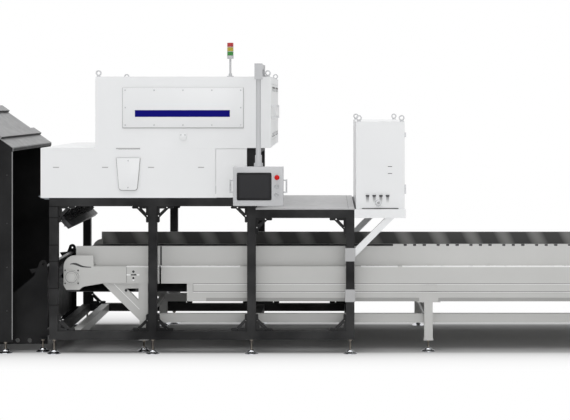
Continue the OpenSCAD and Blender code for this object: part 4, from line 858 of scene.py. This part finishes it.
# a lighter strip down the front corner: painted highlight
addBlock(hoodCornerHighlight, (eaveX - roofSettings["edge"], y0 - roofSettings["edgeProud"], roofSettings["edgeLow"]),
         (eaveX, y0, eaveZ - roofSettings["edgeDrop"]))
makePiece("hoodCornerHighlight", hoodCornerHighlight, "roofPaintedLight")

# folded lip under the head's overhang and the joint line across the table
lipSettings = {"outline": [(-106, 1500), (-82, 1500), (0, 1484.8), (0, 1470), (-40, 1470)],
               "depth": (2, 1978)}
housingLip = bmesh.new()
addPrism(housingLip, lipSettings["outline"], *lipSettings["depth"], rounding=1, steps=1)
makePiece("housingLip", housingLip, "motorGrey")
tableSettings = {"low": (2840, 1, 1384.8), "high": (2843, 1979, 1385.4)}
tableJoint = bmesh.new()
addBlock(tableJoint, tableSettings["low"], tableSettings["high"])
makePiece("tableJoint", tableJoint, "darkPlastic")

# ejector bar on slim struts, with a row of valve caps
ejectorSettings = {"bar": ((178.3, 1203.8), (147.2, 1172.7), (73.7, 1246.2), (104.8, 1277.3)),
                   "strut": ((66, 1404.8), (80, 1404.8), (104, 1262), (92, 1250)), "thick": 10,
                   "y": (190, 1790)}
ejector = bmesh.new()
y0, y1 = ejectorSettings["y"]
addPrism(ejector, ejectorSettings["bar"], y0, y1, rounding=2, steps=2)
for y in (y0 - ejectorSettings["thick"], y1):
    addPrism(ejector, ejectorSettings["strut"], y, y + ejectorSettings["thick"], rounding=1, steps=1)
makePiece("ejectorBar", ejector, "ejectorGrey", hides=("ejector_manifold",))
valveSettings = {"row": [990 + i * 100 for i in range(-7, 8)], "half": 32,
                 "cap": [(102, 1280.2), (131.7, 1250.5), (151.5, 1270.3), (121.8, 1300)]}
valveCaps = bmesh.new()
for y in valveSettings["row"]:
    addPrism(valveCaps, valveSettings["cap"], y - valveSettings["half"], y + valveSettings["half"],
             rounding=2, steps=1)
makePiece("valveCaps", valveCaps, "hoodBlack")

# splitter between its horned end plates, on open stubs
splitterSettings = {"pivot": (-96, 836), "y": (179.5, 195.5, 203.5), "bore": 9, "stub": 12.9,
                    "horn": ((12, -22), (18, -60), (-22, -58), (-108, -92), (-133, -51), (-41, -41),
                             (-24, 20), (8, 24)),
                    "strip": ((-22, -62), (18, -62), (18, -42), (-18, -38))}
px, pz = splitterSettings["pivot"]
bore, stub = splitterSettings["bore"], splitterSettings["stub"]
first, seat, inside = splitterSettings["y"]
horn = [(px + stub * math.cos(math.radians(angle)), pz + stub * math.sin(math.radians(angle)))
        for angle in range(60, 301, 20)]
horn += [(px + x, pz + z) for x, z in splitterSettings["horn"]]
length = seat - first
tubeProfile = [(bore, 0), (stub, 0), (stub, length), (bore, length), (bore, 0)]
horns, strip = bmesh.new(), bmesh.new()
for (front, back), (start, end) in zip(bothSlabs(seat, inside), bothSlabs(first, seat)):
    addPrism(horns, horn, front, back)
    addTurned(horns, (px, start, pz), (0, 1, 0), tubeProfile, steps=24)
addPrism(strip, [(px + x, pz + z) for x, z in splitterSettings["strip"]], inside, frameDepth - inside,
         rounding=2, steps=2)
makePiece("splitterHorns", horns, "hoodBlack", "splitter_flap", ("splitter_flap",))
makePiece("splitterStrip", strip, "splitterSteel", "splitter_flap")

# air nozzles under the ejector bar, one for each valve
nozzleSettings = {"centre": (126, 1225), "seat": 22,
                  "profile": [(0, 0), (13, 0), (13, 6), (9, 9), (9, 20), (5, 28), (2.5, 28), (2.5, 20),
                              (0, 20)]}
nozzles = bmesh.new()
slant = math.sqrt(0.5)
x, z = (place - nozzleSettings["seat"] * slant for place in nozzleSettings["centre"])
for y in valveSettings["row"]:
    addTurned(nozzles, (x, y, z), (-slant, 0, -slant), nozzleSettings["profile"], steps=16)
makePiece("airNozzles", nozzles, "brightSteel")

# painted shade behind the louvre slats of the head's side doors, as dark grey backs
louvreSettings = {"x": (2103.5, 2105), "levels": ((2054, 2096), (2504, 2546)),
                  "doors": (("louvreShadesNear", "side_door_near", 405, 1035),
                            ("louvreShadesFar", "side_door_far", 1225, 1855))}
x0, x1 = louvreSettings["x"]
for name, body, front, back in louvreSettings["doors"]:
    louvreShades = bmesh.new()
    for low, high in louvreSettings["levels"]:
        addBlock(louvreShades, (x0, front, low), (x1, back, high))
    makePiece(name, louvreShades, "shadeDarkGrey", body)

# control cabinet: dark sheets as painted shade in the cable slits and base slot, and hinges on the doors'
# edge
cabinetSettings = {"slits": ((3221, 1779), (3221, 1713)), "slit": 40, "slitHalf": 3, "slitFront": 89.4,
                   "base": (2973, 3322, 1378), "baseHalf": 4, "baseFront": 89.2, "face": 90, "fold": 0.2,
                   "hinges": (2082, 1584, 1541), "hingeX": 3388, "hingeFace": 97,
                   "pin": [(0, 0), (6, 0), (7, 1), (7, 43), (6, 44), (0, 44)], "pinDrop": 22,
                   "leaf": (3380, 3386), "leafHalf": (12, 18)}
slits, hinges = bmesh.new(), bmesh.new()
face, half = cabinetSettings["face"], cabinetSettings["slitHalf"]
for x, z in cabinetSettings["slits"]:
    addBlock(slits, (x, cabinetSettings["slitFront"], z - half),
             (x + cabinetSettings["slit"], face, z + half), rounding=cabinetSettings["fold"], steps=1)
low, high, z = cabinetSettings["base"]
half = cabinetSettings["baseHalf"]
addBlock(slits, (low, cabinetSettings["baseFront"], z - half), (high, face, z + half),
         rounding=cabinetSettings["fold"], steps=1)
makePiece("cabinetSlitShades", slits, "darkPlastic")
x0, x1 = cabinetSettings["leaf"]
halfY, halfZ = cabinetSettings["leafHalf"]
for z in cabinetSettings["hinges"]:
    for y, side in bothFaces(cabinetSettings["hingeFace"]):
        addTurned(hinges, (cabinetSettings["hingeX"], y, z - cabinetSettings["pinDrop"]), upward,
                  cabinetSettings["pin"], steps=16)
        addBlock(hinges, (x0, y - halfY, z - halfZ), (x1, y + halfY, z + halfZ), rounding=1, steps=1)
makePiece("cabinetHinges", hinges, "brightSteel")

# cable outlets: small caps, the fading shade under each, and the gland's nut
outletSettings = {"first": 3026, "pitch": 64, "count": 4, "half": 17, "capZ": (1493, 1507), "capFront": 66,
                  "fold": 4, "shade": 66, "shadeInset": 4, "shadeFront": 88.8, "back": 90.2,
                  "gland": (3129, 90, 1431),
                  "nut": [(14.6, 0), (31, 0), (31, 4), (29, 6), (25, 6), (25, 22), (23, 24.6), (14.6, 24.6),
                          (14.6, 0)]}
outlets, shades, gland = bmesh.new(), bmesh.new(), bmesh.new()
half, back = outletSettings["half"], outletSettings["back"]
narrow = half - outletSettings["shadeInset"]
z0, z1 = outletSettings["capZ"]
for i in range(outletSettings["count"]):
    x = outletSettings["first"] + i * outletSettings["pitch"]
    addBlock(outlets, (x - half, outletSettings["capFront"], z0), (x + half, back, z1),
             rounding=outletSettings["fold"], steps=2)
    addBlock(shades, (x - narrow, outletSettings["shadeFront"], z0 - outletSettings["shade"]),
             (x + narrow, back, z0), rounding=0.5, steps=1)
makePiece("cableOutlets", outlets, "darkPlastic", hides=("cable_glands",))
makePiece("outletShades", shades, "outletFade")
addTurned(gland, outletSettings["gland"], (0, -1, 0), outletSettings["nut"], steps=32)
makePiece("glandNut", gland, "brightSteel")
print("small fittings ready")


# floor: painted shadow close to the machine, white in the open
floorSettings = {"half": 60, "near": 0.45, "white": 0.88, "rough": 0.9, "gloss": 0.0, "curve": 0.5,
                 "fades": (("Y", 100, -900), ("Y", 1850, 3000), ("X", -1500, -2900), ("X", 6200, 7600))}
floorMesh = bmesh.new()
bmesh.ops.create_grid(floorMesh, x_segments=1, y_segments=1, size=floorSettings["half"])
floorData = bpy.data.meshes.new("floor")
floorMesh.to_mesh(floorData)
floorMesh.free()
floor = bpy.data.objects.new("floor", floorData)
scene.collection.objects.link(floor)
floorMaterial, floorTree, floorShader = newMaterial("floorPaper")
floorShader.inputs["Roughness"].default_value = floorSettings["rough"]
floorShader.inputs["Specular IOR Level"].default_value = floorSettings["gloss"]


def floorMath(operation, first, second):
    step = floorTree.nodes.new("ShaderNodeMath")
    step.operation = operation
    for socket, value in zip(step.inputs, (first, second)):
        if isinstance(value, (int, float)):
            socket.default_value = value
        else:
            floorTree.links.new(value, socket)
    return step.outputs["Value"]


# how far a point lies outside the machine's feet on each side, from 0 near to 1 in the open
floorPlace = floorTree.nodes.new("ShaderNodeTexCoord")
floorSplit = floorTree.nodes.new("ShaderNodeSeparateXYZ")
floorTree.links.new(floorPlace.outputs["Object"], floorSplit.inputs["Vector"])
openness = 0.0
for axis, start, end in floorSettings["fades"]:
    fade = floorTree.nodes.new("ShaderNodeMapRange")
    fade.inputs["From Min"].default_value = getattr(at(start, start, 0), axis.lower())
    fade.inputs["From Max"].default_value = getattr(at(end, end, 0), axis.lower())
    floorTree.links.new(floorSplit.outputs[axis], fade.inputs["Value"])
    eased = floorMath("POWER", fade.outputs["Result"], floorSettings["curve"])
    openness = floorMath("MAXIMUM", openness, eased)
# the floor's colour darkens close to the machine: painted shadow
paintedShadowTone, openTone = (floorSettings["near"],) * 3, (floorSettings["white"],) * 3
floorTone = colourOf(floorTree, openness, paintedShadowTone, openTone, low=0, high=1)
floorTree.links.new(floorTone, floorShader.inputs["Base Color"])
# seen straight, in a gloss or through glass, the open floor is plain white
paper = floorTree.nodes.new("ShaderNodeEmission")
floorPath = floorTree.nodes.new("ShaderNodeLightPath")
seen = floorMath("MAXIMUM", floorPath.outputs["Is Camera Ray"], floorPath.outputs["Is Glossy Ray"])
seen = floorMath("MAXIMUM", seen, floorPath.outputs["Is Transmission Ray"])
whiten = floorTree.nodes.new("ShaderNodeMixShader")
floorTree.links.new(floorMath("MULTIPLY", seen, openness), whiten.inputs["Fac"])
floorTree.links.new(floorShader.outputs["BSDF"], whiten.inputs[1])
floorTree.links.new(paper.outputs["Emission"], whiten.inputs[2])
floorTree.links.new(whiten.outputs["Shader"], floorTree.nodes["Material Output"].inputs["Surface"])
floorData.materials.append(floorMaterial)
floor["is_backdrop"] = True

low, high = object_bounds()
